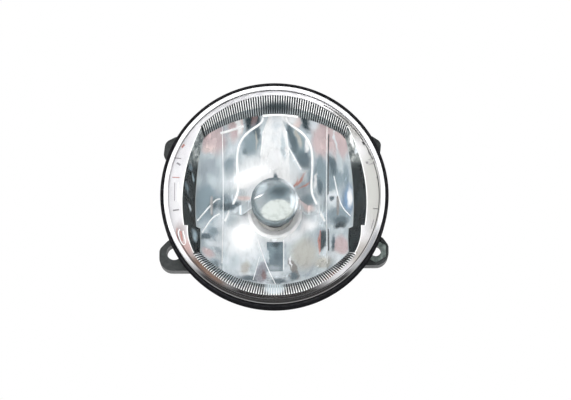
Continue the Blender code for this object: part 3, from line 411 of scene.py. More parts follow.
def make_materials():
    for row in PLAIN_FINISHES:
        plain_finish(*row)
    for name, colour in MARKS.items():
        plain_finish(name, 0.4, 0, 0.5, 500, darker(colour), colour)
    tones = (0.56, 0.52, 0.45), (0.68, 0.64, 0.56)
    plain_finish("natural_nylon", 0.5, 0, 0.5, 150, *tones, (1600, 0.02), Subsurface_Weight=0.1)
    tones = (0.93, 0.94, 0.95), (0.98, 0.99, 1.0)
    plain_finish("quartz", 0.02, 0, 0.5, 120, *tones, Transmission_Weight=1.0, IOR=1.46)
    # The lens bends and tints light very little; its coat mirrors the studio.
    lens = {"Transmission_Weight": 1.0, "IOR": 1.02, "Alpha": 0.3, "Coat_Weight": 1.0, "Coat_Roughness": 0.14}
    tones = (0.95, 0.965, 0.97), (0.99, 0.995, 0.995)
    plain_finish("clear_lens", 0.1, 0, 0.5, 30, *tones, (40, 0.01, 1), **lens)
    # The mirror's colour, at the left and right, in the column and in the pane, is painted reflections.
    for name, side in (("mirror_left", -1), ("mirror_right", 1)):
        tints = [tint for tint in MIRROR_PAINTED_REFLECTIONS if side * tint[1] + 1.2 * max(tint[3], tint[4]) + 3 > 0]
        mirror_material(name, GREY, CLOUD, PALE, tints)
    mirror_material("mirror_column", PALE, WHITE, WHITE, COLUMN_PAINTED_REFLECTIONS)
    mirror_material("mirror_painted_pane", SMOKE, tone(112, 130, 138), TEAL, PANE_PAINTED_REFLECTIONS)
    # The crests are painted bright as a highlight; flute_shade is a darker copy of them, painted shade on
    # their inner parts.
    flute_material("flute_crest", tone(250, 251, 251))
    flute_material("flute_shade", tone(160, 168, 170))
    groove_material()
    wall_material()
    flange_material()
    shield_material()
    rim_materials()


PALE, WHITE, CLOUD, GREY = tone(228, 234, 238), tone(254, 254, 254), tone(202, 212, 217), tone(168, 179, 185)
TEAL, SMOKE, DARK, BLUE = tone(138, 155, 163), tone(92, 108, 116), tone(54, 68, 74), tone(134, 168, 206)
ROSE, PINK, SAND = tone(206, 186, 186), tone(232, 212, 208), tone(190, 189, 181)
REDDISH_REFLECTION, BROWN, BLACK = tone(196, 138, 126), tone(140, 116, 116), tone(18, 24, 26)

# Each tint: colour, x, z, half-width, half-height, softness of its edge and, if it has one, angle in degrees.
# Painted reflections on the mirror: white glows, and pale, dark, rose and reddish patches and streaks.
MIRROR_PAINTED_REFLECTIONS = (
    (WHITE, 2, 4, 19, 25, 0.95),
    (TEAL, -27.5, 1, 6.5, 12, 0.6, -12),
    (TEAL, 22.5, 12, 10, 8.5, 0.7),
    (TEAL, 9.5, 24.5, 4.5, 9, 0.6, 20),
    (GREY, 13, 3, 5, 7, 0.8),
    (ROSE, -25, 25.5, 6.5, 7, 0.6, 20),
    (PINK, -26.5, 21, 3.5, 2.5, 0.8, 20),
    (GREY, -27, 13, 6, 6.5, 0.6),
    (CLOUD, -24.5, 10, 3.5, 3.5, 0.9),
    (TEAL, -29.5, -1, 3.5, 7.5, 0.6, -15),
    (SMOKE, -24.5, 1, 2, 3.5, 0.65, -40),
    (SMOKE, -27.5, -13.5, 3.5, 1.5, 0.6, 35),
    (TEAL, -24.5, -10.5, 3, 3, 0.8),
    (PALE, -24, -16, 4, 2, 0.7, 10),
    (ROSE, -26.5, -21, 3.5, 2.5, 0.7, -40),
    (TEAL, -24, -25.5, 2.8, 2.8, 0.8),
    (ROSE, -16.5, 30, 3.5, 5.5, 0.65),
    (PINK, -13.5, 32, 1, 5, 0.55),
    (DARK, -9, 32.5, 3.5, 5, 0.5),
    (BROWN, -8.5, 33, 1.5, 3, 0.6),
    (TEAL, -18.5, 16.5, 3, 5.5, 0.65),
    (TEAL, -20, 3, 4, 6.5, 0.8),
    (SMOKE, -18, 1.5, 5.5, 2, 0.6, 20),
    (PINK, -12, 5.2, 5, 1.5, 0.7),
    (TEAL, -17.5, -5, 2.5, 4, 0.6, -30),
    (TEAL, -8, 27, 3.2, 6, 0.65),
    (SMOKE, -7, 29, 2, 2, 0.6),
    (SAND, -7.5, 26, 0.5, 3.5, 0.55),
    (SMOKE, -12, 22.5, 1.5, 1.5, 0.7, 30),
    (WHITE, -8, 15, 14, 7, 0.95, 14),
    (SMOKE, 7, 28, 1.8, 7, 0.65, 14),
    (SAND, 9.5, 27.5, 1, 4.5, 0.65, 8),
    (WHITE, 12.5, 24.5, 1, 3, 0.55),
    (SMOKE, 11.5, 19.5, 3, 5, 0.7, 30),
    (PALE, 8.5, 19, 1, 5, 0.55, 28),
    (PINK, 9, 33, 2, 2.5, 0.65),
    (DARK, 13, 32.5, 2.5, 4, 0.5, 15),
    (ROSE, 19.5, 26.5, 6, 8.5, 0.5),
    (ROSE, 26.5, 23.5, 4.5, 8, 0.55),
    (PALE, 24.5, 24.5, 0.5, 6, 0.65, 8),
    (TEAL, 18, 16, 2.5, 5.5, 0.55),
    (SMOKE, 23, 16, 2, 5, 0.65, 15),
    (CLOUD, 26, 16.5, 1.5, 5.5, 0.65, 15),
    (TEAL, 29, 11, 2, 5, 0.6, 10),
    (WHITE, 16.5, 12, 1, 3.5, 0.55, -10),
    (SMOKE, 18.5, 9, 1.5, 4.5, 0.65),
    (PALE, 23, 4, 2.5, 3.5, 0.65),
    (SMOKE, 23, 3.5, 1, 1.5, 0.65),
    (tone(104, 128, 150), 29.5, 1, 4.5, 9, 0.8),
    (BLUE, 30.2, 2, 2.8, 6.6, 0.9),
    (WHITE, 30.6, 2.2, 1.5, 4.6, 0.7),
    (TEAL, 25.5, -4, 6, 4.5, 0.55, -15),
    (SMOKE, 26.5, -6.5, 4, 2.6, 0.7, -15),
    (DARK, 26, -8.5, 3.4, 1.6, 0.65, -10),
    (ROSE, 27, -17.5, 4, 5.5, 0.5, 15),
    (SMOKE, 23.5, -15.5, 1, 4.5, 0.65),
    (DARK, 19.5, -13.5, 1.5, 5.5, 0.45),
    (REDDISH_REFLECTION, 18.5, -15.5, 0.5, 5.5, 0.65),
    (SAND, 12, -19, 7, 9.5, 0.6),
    (WHITE, 9.5, -7.5, 6, 4, 0.9),
    (CLOUD, 9, -6, 3.5, 3.5, 0.8),
    (PINK, 12.5, 1, 4, 2, 0.6),
    (TEAL, 14, 4.5, 3.5, 3, 0.6),
    (SAND, 19, -24, 4, 3.5, 0.6),
    (tone(136, 132, 128), 7.6, -26.4, 1.8, 6, 0.4, 16),
    (SMOKE, 7.5, -29.5, 3, 3, 0.8, 10),
    (WHITE, 6.5, -22.5, 0.5, 4, 0.65),
    (PALE, 0.5, -27.8, 4, 1.8, 0.6),
    (SMOKE, 1, -31.5, 5, 1.9, 0.7),
    (SMOKE, -9, -31, 8, 2.2, 0.8, 8),
    (WHITE, -13, -12, 11, 13, 0.85),
    (WHITE, 5, 34, 6, 2.6, 0.6),
    (WHITE, 3, -9, 9, 6, 0.8),
    (SAND, -11.5, -26, 2, 4.5, 0.65),
    (tone(148, 148, 157), -5.4, -27.8, 2.6, 6, 0.4, -10),
    (BROWN, -4.6, -29, 1.2, 2.4, 0.7),
    (CLOUD, -16.5, -23.5, 3, 5.5, 0.6),
    (GREY, 11, 9.5, 5, 6, 0.8),
    (TEAL, 14.5, 13, 2.6, 4.5, 0.8),
    (WHITE, 14.5, -6.5, 4.5, 4, 0.9),
    (TEAL, -10.5, 24.5, 4, 4.5, 0.8, 20),
    (WHITE, -14.5, 31, 1.5, 4, 0.6),
    (PALE, 15.5, 32, 2.5, 3.5, 0.7),
    (WHITE, -9.5, 12.3, 9, 2.0, 0.6, 22),
    (REDDISH_REFLECTION, 10, 12.5, 0.8, 4.4, 0.9, -38),
    (REDDISH_REFLECTION, 12, 10.5, 0.7, 3.8, 0.9, -60),
    (REDDISH_REFLECTION, 8.4, 11.5, 0.6, 3, 0.9, -20),
)
# Painted reflections on the mirror's bright middle column.
COLUMN_PAINTED_REFLECTIONS = (
    (CLOUD, 3.5, 24, 1.2, 6, 0.6, 8),
    (WHITE, 0, 17, 6, 7, 0.7),
    (SMOKE, 0.3, 13.6, 1.1, 2.8, 0.7),
)
# Painted reflections on the dark pane low in the middle strip.
PANE_PAINTED_REFLECTIONS = (
    (GREY, 0, -25.8, 5, 2.6, 0.9),
    (DARK, 0.5, -14, 2.4, 2.4, 0.9),
    (CLOUD, -3, -19, 0.8, 5, 0.7, 6),
)
# Painted light on the shield: highlights at the upper left, upper right, right and low on its face, a white
# glint at the left, and painted shade across its top.
SHIELD_PAINTED_LIGHT = (
    (PALE, 6, 7, 5, 4, 0.8, -45),
    (PALE, 9.2, -1, 2.2, 6, 0.8),
    (tone(132, 140, 143), 0, 0.4, 7.5, 7.4, 0.15),
    (GREY, -5.5, 5.5, 4, 3.4, 0.9, 45),
    (SMOKE, 1.5, 3, 7.5, 5.5, 0.8, 10),
    (DARK, 1.8, 3.8, 5.2, 3, 0.9, 8),
    (tone(178, 184, 181), 1.2, -4.1, 6.6, 4.3, 0.2, 8),
    (CLOUD, 7.2, -0.5, 1.2, 4, 0.8),
    (WHITE, -6.3, 1.5, 0.3, 2.4, 0.5, -55),
)
# Painted glints and reflection spots on the side walls.
WALL_PAINTED_REFLECTIONS = (
    (WHITE, 30.6, 22.5, 0.9, 3.0, 0.6, 15),
    (PALE, 32.6, 18.4, 1.3, 1.8, 0.6, -30),
    (WHITE, -33.4, 20.5, 0.6, 1.6, 0.7, -20),
    (SMOKE, -34.6, 3.5, 0.7, 3, 0.8, 10),
    (SMOKE, -33.4, 12, 1.0, 2, 0.8, 10),
    (GREY, -33.6, -4, 0.5, 1.6, 0.8, 20),
    (TEAL, -32.4, 8, 0.4, 2.4, 0.8, 5),
    (TEAL, -31.5, -15.5, 1.2, 3, 0.8, 10),
)
# A painted lighter patch on the lens edge's shaded bottom, at the right.
EDGE_PAINTED_LIGHT = ((tone(120, 121, 124), 38, -22, 9, 13, 0.7, -32),)
# The flange's patches: the brown one low at the left and the near-black one across the bottom are painted
# shade.
FLANGE_TINTS = (
    (tone(166, 166, 163), 42, 4, 11, 28, 0.6),
    (tone(142, 141, 139), 31, 29, 14, 7, 0.7, -45),
    (tone(160, 156, 152), 35, -24, 8, 9, 0.7, 40),
    (tone(158, 147, 147), -37, -15, 3.5, 6, 0.9),
    (tone(180, 152, 148), -35.5, -22, 4.5, 9, 0.8, -40),
    (tone(112, 88, 76), -27, -31.5, 14, 6, 0.6, -42),
    (tone(20, 15, 14), 1, -51, 40, 22, 0.4),
)
# Painted shade on the crests at the middle above and low down at both sides, and a pinkish patch low at the
# right.
CREST_TINTS = (
    (DARK, 1, 36.2, 10, 2.6, 0.8),
    (BLACK, 28.5, -27, 6.5, 3.2, 0.6, 46),
    (GREY, -21, -31.5, 16, 4.4, 0.6, -36),
    (tone(226, 200, 196), 24, -33, 7, 3, 0.8, 38),
)
# On the grooves: a painted bright patch at the bottom's middle, and a warm patch beside it.
GROOVE_TINTS = ((CLOUD, 0, -36.5, 4.6, 4, 0.5), (tone(110, 66, 58), 23, -32.5, 6, 2.4, 0.8, 38))


def rim_materials():
    """The housing's rubbed black rim, and the lens's pale edge, which painted shade darkens towards the
    bottom, with a painted lighter patch low at the right.
    """
    band = Paint("rim_band", 0.5, specular=0.0)
    band.colour(band.blotches(700, (0.004, 0.004, 0.005), (0.014, 0.014, 0.015), stretch=(1, 4, 1)))
    band.relief(2600, 0.01, 2)
    edge = Paint("lens_edge", 0.3, specular=0.2)
    pale = edge.blotches(180, tone(178, 178, 181), tone(208, 208, 209))
    edge.colour(edge.tint(edge.mix(edge.axis("Z", -21, -34), pale, tone(26, 25, 25)), EDGE_PAINTED_LIGHT))
    edge.relief(900, 0.01)
    # The lens ring darkens towards the bottom too: painted shade.
    ring = Paint("edge_ring", 0.35)
    pale = ring.blotches(200, tone(150, 151, 152), tone(205, 206, 206))
    ring.colour(ring.mix(ring.axis("Z", -12, -25), pale, tone(92, 92, 92)))


def groove_material():
    """The grooves between flutes, painted dark as shade, with a painted bright patch at the bottom's middle
    and warm beside it.
    """
    paint = Paint("flute_groove", 0.4, specular=0.15)
    paint.colour(paint.tint(paint.blotches(300, tone(6, 12, 14), tone(28, 37, 40)), GROOVE_TINTS))


def wall_material():
    """The bezel's side walls: smoky black, and at the top a painted pale reflection with broken painted
    glints; painted reflection spots lie over both.
    """
    paint = Paint("bezel_wall", (150, 0.2, 0.4), 0.2, 0.2)
    dark = ((0.35, tone(10, 16, 18)), (0.6, tone(26, 35, 38)), (0.75, tone(46, 56, 60)))
    pale = ((0.4, tone(84, 92, 94)), (0.5, tone(132, 138, 137)), (0.62, tone(180, 184, 182)))
    smoke, glints = paint.ramp(paint.noise(260, 6), dark), paint.ramp(paint.noise(420, 3), pale)
    paint.stray(300, 1.0)
    paint.colour(paint.tint(paint.mix(paint.axis("Z", 11, 17), smoke, glints), WALL_PAINTED_REFLECTIONS))
    paint.relief(500, 0.01)


def shield_material():
    """The bulb shield's matt grey coat, stained, with painted highlights round its right and low on its face
    and painted shade across its top.
    """
    paint = Paint("shield_coat", (300, 0.4, 0.6), 0.1, 0.2)
    cloud = paint.ramp(paint.noise(160, 6), ((0.35, tone(84, 97, 103)), (0.65, tone(112, 124, 128))))
    paint.stray(300, 0.7)
    stain = paint.ramp(paint.noise(420, 6, roughness=0.7), ((0.38, 0.5), (0.52, 1.0)))
    paint.colour(paint.mix(0.55, paint.tint(cloud, SHIELD_PAINTED_LIGHT), stain, "MULTIPLY"))
    paint.relief(700, 0.015)


def flange_material():
    """The bezel's satin silver lacquer: nearly white above, warm at the right, and painted shade, brown to
    near black, below.
    """
    paint = Paint("bezel_lacquer", (120, 0.26, 0.4), 0.3, 0.25)
    base = paint.blotches(150, tone(190, 189, 192), tone(212, 211, 213), stretch=(1, 1, 0.5))
    paint.colour(paint.tint(base, FLANGE_TINTS))
    paint.relief(260, 0.02)


def flute_material(name, colour):
    """Crests painted bright as a highlight, with painted shade at the middle above and low down at both
    sides.
    """
    paint = Paint(name, 0.3, 0.4)
    paint.colour(paint.tint(paint.blotches(400, darker(colour), colour), CREST_TINTS))


def mirror_material(name, dull, plain, bright, tints):
    """Vacuum-coated mirror whose colour is painted reflections: cool grey, with paler patches, white glows
    and a few rose ones, streaked.
    """
    paint = Paint(name, (70, 0.16, 0.3, (1.5, 1, 0.5)), 0.28)
    base = paint.ramp(paint.noise(90, 5, (1.5, 1, 0.7)), ((0.34, dull), (0.5, plain), (0.66, bright)))
    paint.stray(110, 2.0)
    paint.stray(600, 0.7)
    streaks = paint.ramp(paint.noise(230, 6, (2.2, 1, 0.6), 0.65), ((0.32, 0.55), (0.5, 0.95), (0.62, 1.0)))
    paint.colour(paint.mix(0.45, paint.tint(base, tints), streaks, "MULTIPLY"))
    paint.relief(95, 0.02, 2, (1.4, 1, 0.5))


# -------- housing


def make_housing():
    """The turned shell with its rim, belt, dome and collar, and then what stands on it."""
    lip = [(43.9, -7.6), (43.9, -11.7), (44.05, RIM_FRONT), (44.6, RIM_FRONT), (44.9, -11.75)]
    groove = [(RIM_RADIUS, -11.4), (RIM_RADIUS, -9.9), (44.75, -9.6), (44.75, -9.2), (RIM_RADIUS, -8.9)]
    skirt = [(RIM_RADIUS, -2.8), (44.8, -2.4), (44.3, -2.2), (41.6, -1.1), (41.1, -0.8), (BODY_RADIUS, -0.4)]
    belt = [(BODY_RADIUS, 10), (41.3, 10.3), (41.3, 11.4), (BODY_RADIUS, 11.7)]
    dome = ellipse_quarter(20, 33.5, BODY_RADIUS, 14)
    collar = [(17.6, 33.9), (COLLAR_RADIUS, 34.9), (COLLAR_RADIUS, 44), (16.9, 44.3), (16.9, 45.4)]
    mouth = [(COLLAR_RADIUS, 45.7), (COLLAR_RADIUS, 48.1), (16.2, COLLAR_END), (13.7, COLLAR_END)]
    seat = [(13.4, 48.2), (13.4, 43), (10.4, 43), (10.4, 41), (14.5, 41), (14.5, 31.5)]
    inside = ellipse_quarter(20.0 - WALL, 33.5 - WALL, BODY_RADIUS - WALL, 10)[::-1]
    outside = lip + groove + skirt + belt + dome + collar + mouth + seat
    shell = revolve(outside + inside + [(BODY_RADIUS - WALL, -7.6)], 144)
    finish_outside(shell, 43.6)
    piece("housing_shell", shell, "housing", ("rim_plastic", "rim_band"), 30, replaces=("housing",))
    make_ears()
    make_back()


def ellipse_quarter(end_radius, end_y, start_radius, steps):
    """The domed back's profile: a quarter of an ellipse from the end of the straight body."""
    points = []
    for i in range(steps + 1):
        angle = pi / 2 * i / steps
        radius = end_radius + (start_radius - end_radius) * cos(angle)
        points.append((radius, BODY_END + (end_y - BODY_END) * sin(angle)))
    return points


def make_ears():
    """Two ears, one with a round hole and one with a hexagonal pocket, and two small lugs."""
    left = ((-45.7, -28.6, 5), (-30, -28.6, 0.5), (-35, -18, 0.5), (-41.8, -16, 2), (-45.7, -20, 3))
    right = ((45.3, -26.4, 5), (45.3, -18.4, 3), (42.6, -14.8, 1.5), (37, -16, 0.5), (31.5, -26.4, 0.5))
    hole = circle(EAR_LEFT, 3, 40)
    pocket, bore = circle(EAR_RIGHT, 4.8, 6, 30), circle(EAR_RIGHT, 2.7, 36)
    lug_left = ((-38.6, 26.2, 1.2), (-36.5, 20, 0.5), (-38.5, 15.6, 0.6), (-44.6, 16.6, 2.4))
    lug_left += ((-43.8, 23.6, 3.4),)
    lug_right = ((42.7, 23.6, 2.6), (42.3, 18.8, 2), (37.5, 17.4, 0.6), (35.5, 21, 0.6), (38.2, 26.6, 1.2))
    for name, mesh, edge in (
        ("ear_left", plate(rounded(left), hole, hole, 0, 8), 0.45),
        ("ear_right", plate(rounded(right), pocket, bore, 0, 8, 4.6), 0.3),
        ("lug_left", prism(rounded(lug_left), 0, 4), 0.4),
        ("lug_right", prism(rounded(lug_right), 0, 4), 0.4),
    ):
        bevel(piece(name, mesh, "housing", ("black_plastic",)), edge)


def plate(outline, front_hole, back_hole, front, back, floor=None):
    """A plate with a hole through it; the hole may change shape at a floor part of the way down."""
    mesh = bmesh.new()
    near = loop(mesh, outline, front)
    far = loop(mesh, outline, back)
    mouth = loop(mesh, front_hole, front)
    rear = loop(mesh, back_hole, back)
    cap(mesh, near, mouth)
    cap(mesh, far, rear)
    bridge(mesh, near, far)
    if floor is None:
        bridge(mesh, mouth, rear)
    else:
        wide, narrow = loop(mesh, front_hole, floor), loop(mesh, back_hole, floor)
        bridge(mesh, mouth, wide)
        cap(mesh, wide, narrow)
        bridge(mesh, narrow, rear)
    return mesh


def cap(mesh, outer, inner):
    """Flat faces between an outline and a hole in it."""
    corners = outer + inner
    rings = [[Vector((v.co.x, v.co.z, 0)) for v in ring] for ring in (outer, inner)]
    for a, b, c in tessellate_polygon(rings):
        mesh.faces.new((corners[a], corners[b], corners[c]))


def make_back():
    """Behind: a boss round the aiming screw, six ribs round the collar and the vent's nipple."""
    boss = [(6.2, 26.5), (6.5, 27), (6.5, 35.1), (6.1, 35.5)]
    boss += [(4.9, 35.5), (4.9, 33.3), (2.8, 33.3), (2.8, 26.5)]
    piece("adjuster_boss", revolve(boss, 48, z=ADJUSTER_Z), "housing", ("rim_plastic",))
    ribs = bmesh.new()
    for i in range(6):
        turned = Matrix.Rotation(radians(15 + 60 * i), 3, "Y")
        start = len(ribs.verts)
        box(ribs, (15.5, 30, -0.8), (32, 35, 0.8))
        ribs.verts.ensure_lookup_table()
        bmesh.ops.rotate(ribs, cent=(0, 0, 0), matrix=turned, verts=ribs.verts[start:])
    bevel(piece("back_ribs", ribs, "housing", ("rim_plastic",)), 0.3)
    nipple = revolve([(3.2, 28), (3.2, 39.2), (2.9, 39.5), (1.6, 39.5), (1.6, 28)], 32, x=-16, z=24)
    piece("vent_nipple", nipple, "housing", ("rim_plastic",))


# -------- lens


def dome_y(radius, apex):
    """Depth, at a radius, of a sphere through the lens's edge whose front is moved to an apex."""
    rise = LENS_EDGE_Y - LENS_APEX
    sphere = (LENS_EDGE**2 + rise**2) / (2 * rise)
    return apex + sphere - sqrt(sphere**2 - radius**2)


def make_lens():
    rings = 24
    outer = [(LENS_EDGE * i / rings, dome_y(LENS_EDGE * i / rings, LENS_APEX)) for i in range(rings + 1)]
    inner = [(LENS_EDGE - 0.1) * (rings - i) / rings for i in range(rings + 1)]
    back = [(radius, dome_y(radius, LENS_APEX + LENS_THICKNESS)) for radius in inner]
    clear = revolve(outer + [(42.5, -12.8), (42.5, -9.6)] + back, 144)
    finish_outside(clear, LENS_EDGE + 0.05)
    piece("lens_dome", clear, "lens", ("clear_lens", "lens_edge"), 40, replaces=("lens",))
    edge = [(42.52, -12.6), (42.9, -12.45), (43.0, -12.2), (43.3, -12.2)]
    edge += [(43.36, -12.3), (43.6, -12.3), (43.6, -9.4), (42.52, -9.4)]
    ring = revolve(edge, 144)
    for face in ring.faces:
        centre = face.calc_center_median()
        if hypot(centre.x, centre.z) > 43.32 and centre.y < -12:
            face.material_index = 1
    piece("lens_flange", ring, "lens", ("lens_edge", "edge_ring"))


# -------- bezel


def cone_y(x, z):
    """Depth of the bezel's front face."""
    return BEZEL_EDGE_Y + BEZEL_SLOPE * (BEZEL_EDGE - hypot(x, z))


def wall_depth(z):
    """How deep the bezel's inner edge lies: deeper at mid height, where the reflector is deeper too."""
    return WINDOW_Y + 3.6 * max(0.0, 1 - (z / 20) ** 2)


def flute_shares(count):
    """Places along an arc: four to a flute, two on its crest and two in its groove."""
    return [(i + part) / count for i in range(count) for part in (0.0, 0.32, 0.42, 0.9)] + [1.0]


def arc_points(circle, start, end, shares):
    """Points on a circle (centre z, radius), from one angle to another in degrees."""
    centre, radius = circle
    points = []
    for share in shares:
        angle = radians(start + (end - start) * share)
        points.append((radius * cos(angle), centre + radius * sin(angle)))
    return points


def shallow_arc(half_width, edge_z, pole_z, shares):
    """Points on the arc through (half_width, edge_z), (0, pole_z) and (-half_width, edge_z)."""
    drop = pole_z - edge_z
    radius = (half_width**2 + drop**2) / (2 * drop)
    reach = asin(half_width / abs(radius))
    points = []
    for share in shares:
        angle = reach - 2 * reach * share
        points.append((abs(radius) * sin(angle), pole_z - radius + radius * cos(angle)))
    return points


def bowed(start, middle, end, count):
    """A smooth curve through three points, as x over z."""
    points = []
    (x0, z0), (x1, z1), (x2, z2) = start, middle, end
    for i in range(count + 1):
        z = z0 + (z2 - z0) * i / count
        x = (
            x0 * (z - z1) * (z - z2) / ((z0 - z1) * (z0 - z2))
            + x1 * (z - z0) * (z - z2) / ((z1 - z0) * (z1 - z2))
            + x2 * (z - z0) * (z - z1) / ((z2 - z0) * (z2 - z1))
        )
        points.append((x, z))
    return points


def bezel_outlines():
    """Front and rear outlines of the opening: fluted arcs above and below, plain walls at the sides."""
    upper, lower = flute_shares(UPPER_FLUTES), flute_shares(LOWER_FLUTES)
    upper_out = arc_points(UPPER_CIRCLE, 43.2, 136.8, upper)
    upper_in = shallow_arc(28.1, 24.5, 33.4, upper)
    lower_out = arc_points(LOWER_CIRCLE, -36.5, -143.5, lower)
    lower_in = shallow_arc(29.2, -22.2, -35.0, lower)
    walls = []
    for side in (-1, 1):
        start = (side * abs(upper_out[0][0]), upper_out[0][1])
        end = (side * abs(upper_in[0][0]), upper_in[0][1])
        outer = bowed(start, (side * 36.6, 1.0), (side * 35.9, STEP_Z), 18)
        inner = bowed(end, (side * 31.2, 1.0), (side * 30.8, STEP_Z), 18)
        walls.append((outer, inner))
        start = (side * abs(lower_out[0][0]), lower_out[0][1])
        end = (side * abs(lower_in[0][0]), lower_in[0][1])
        outer = bowed((side * 34.4, STEP_Z), (side * 33.7, -18.3), start, 8)
        inner = bowed((side * 29.2, STEP_Z), (side * 29.0, -17.5), end, 8)
        walls.append((outer, inner))
    return upper_out, upper_in, lower_out, lower_in, walls


def make_bezel():
    upper_out, upper_in, lower_out, lower_in, walls = bezel_outlines()
    mesh = bmesh.new()
    flutes(mesh, upper_out, upper_in, 0.0)
    flutes(mesh, lower_out, lower_in, 0.12)
    for outer, inner in walls:
        side_wall(mesh, outer, inner)
    for side in (-1, 1):
        step_ledge(mesh, walls, side)
    finishes = ("flute_crest", "flute_groove", "bezel_wall", "edge_line", "flute_shade")
    opening = piece("bezel_opening", mesh, "bezel", finishes, 20, replaces=("bezel",), facing=towards_axis)
    thicken(opening, 0.25)
    make_flange(upper_out, lower_out, walls)
    make_marks()


def towards_axis(centre):
    return Vector((-centre.x, 0, -centre.z)).normalized() + Vector((0, -0.6, 0))


def to_front(centre):
    return Vector((0, -1, 0))


def outwards_or_front(centre):
    """The flange's rim shows its outside, and the rest of it its front."""
    at_rim = hypot(centre.x, centre.z) > BEZEL_EDGE - 0.2
    return -towards_axis(centre) if at_rim else to_front(centre)


def flutes(mesh, outer, inner, overhang):
    """Radial flutes between two outlines. Their crests end in small caps, painted bright as highlights, that
    may overhang; the inner part of each crest and the grooves are painted as shade.
    """
    rows = []
    shares = (0.0, 0.02, 0.16, 0.55, 0.9, 1.0)
    for i, ((xo, zo), (xi, zi)) in enumerate(zip(outer, inner)):
        crest = 0.6 if i % 4 in (0, 1) else 0.0
        front = cone_y(xo, zo)
        row = []
        for k, share in enumerate(shares):
            lift = crest if 0 < k < 5 else 0.0
            if crest and k < 2:
                share -= overhang
            x, z = xo + (xi - xo) * share, zo + (zi - zo) * share
            y = front + (WINDOW_Y - front) * max(0.0, share - 0.05) / 0.95 + 2 * min(share, 0.0)
            inward = Vector((x, z)).normalized() * -lift * 0.6
            row.append(mesh.verts.new((x + inward.x, y - lift * 0.6, z + inward.y)))
        rows.append(row)
    for i, (first, second) in enumerate(zip(rows, rows[1:])):
        for k in range(len(shares) - 1):
            corners = (first[k], first[k + 1], second[k + 1], second[k])
            mesh.faces.new(corners).material_index = (3, 3, 0, 4, 4)[k] if i % 4 == 0 else 1


def side_wall(mesh, outer, inner):
    """A smooth wall with a thin painted highlight along its front edge and a paler painted highlight along
    its back lip.
    """
    rows = []
    for (xo, zo), (xi, zi) in zip(outer, inner):
        front, back = cone_y(xo, zo), wall_depth(zi)
        across = Vector((xi - xo, zi - zo)).normalized()
        row = [(xo, front, zo), (xo + across.x * 0.3, front + 0.12, zo + across.y * 0.3)]
        row.append((xi - across.x * 0.25, back - 0.2, zi - across.y * 0.25))
        row.append((xi, back, zi))
        rows.append([mesh.verts.new(point) for point in row])
    for first, second in zip(rows, rows[1:]):
        for k, material in enumerate((3, 2, 4)):
            mesh.faces.new((first[k], first[k + 1], second[k + 1], second[k])).material_index = material


def step_ledge(mesh, walls, side):
    """The small flat ledge where a side wall steps inwards, painted bright as a highlight."""
    (upper_out, upper_in), (lower_out, lower_in) = walls[side + 1], walls[side + 2]
    corners = []
    for x, z in (upper_out[-1], upper_in[-1], lower_in[0], lower_out[0]):
        depth = wall_depth(z) if (x, z) in (upper_in[-1], lower_in[0]) else cone_y(x, z)
        corners.append(mesh.verts.new((x, depth, z)))
    mesh.faces.new(corners).material_index = 3


def make_flange(upper_out, lower_out, walls):
    """The flat silver ring round the opening."""
    outline = list(upper_out)
    outline += walls[0][0][1:] + walls[1][0]
    outline += lower_out[::-1][1:]
    outline += walls[3][0][::-1][1:] + walls[2][0][::-1][:-1]
    mesh = bmesh.new()
    inner, outer = [], []
    for x, z in outline:
        angle = atan2(z, x)
        edge = (BEZEL_EDGE * cos(angle), BEZEL_EDGE_Y, BEZEL_EDGE * sin(angle))
        inner.append(mesh.verts.new((x, cone_y(x, z), z)))
        outer.append(mesh.verts.new(edge))
    rim = [mesh.verts.new((v.co.x, v.co.y + 1.3, v.co.z)) for v in outer]
    bridge(mesh, inner, outer)
    bridge(mesh, outer, rim)
    flange = piece("bezel_flange", mesh, "bezel", ("bezel_lacquer",), 25, facing=outwards_or_front)
    thicken(flange, 0.3)


def bead(mesh, path, width, height, surface, material=0):
    """A fine raised line along a path of (x, z) on a surface given as y over (x, z). It is a closed body."""
    rows = []
    sink = 0.15
    for i, (x, z) in enumerate(path):
        before, after = path[max(i - 1, 0)], path[min(i + 1, len(path) - 1)]
        heading = Vector((after[0] - before[0], after[1] - before[1])).normalized()
        side = Vector((-heading.y, heading.x)) * width / 2
        row = [
            (x + side.x, surface(x + side.x, z + side.y) + sink * 0.3, z + side.y),
            (x + side.x * 0.4, surface(x, z) - height, z + side.y * 0.4),
            (x - side.x * 0.4, surface(x, z) - height, z - side.y * 0.4),
            (x - side.x, surface(x - side.x, z - side.y) + sink * 0.3, z - side.y),
            (x, surface(x, z) + sink, z),
        ]
        rows.append([mesh.verts.new(point) for point in row])
    for first, second in zip(rows, rows[1:]):
        bridge(mesh, first, second, material)
    for end in (rows[0], rows[-1]):
        mesh.faces.new(end).material_index = material


def along(points, spacing=0.8):
    """A polyline cut into short steps, its corners rounded off."""
    path = [Vector(point) for point in points]
    for _ in range(3):
        smooth = [path[0]]
        for a, b in zip(path, path[1:]):
            smooth += [a.lerp(b, 0.25), a.lerp(b, 0.75)]
        path = smooth + [path[-1]]
    result = [path[0]]
    for point in path[1:]:
        if (point - result[-1]).length > spacing * 0.5:
            result.append(point)
    return [tuple(point) for point in result]


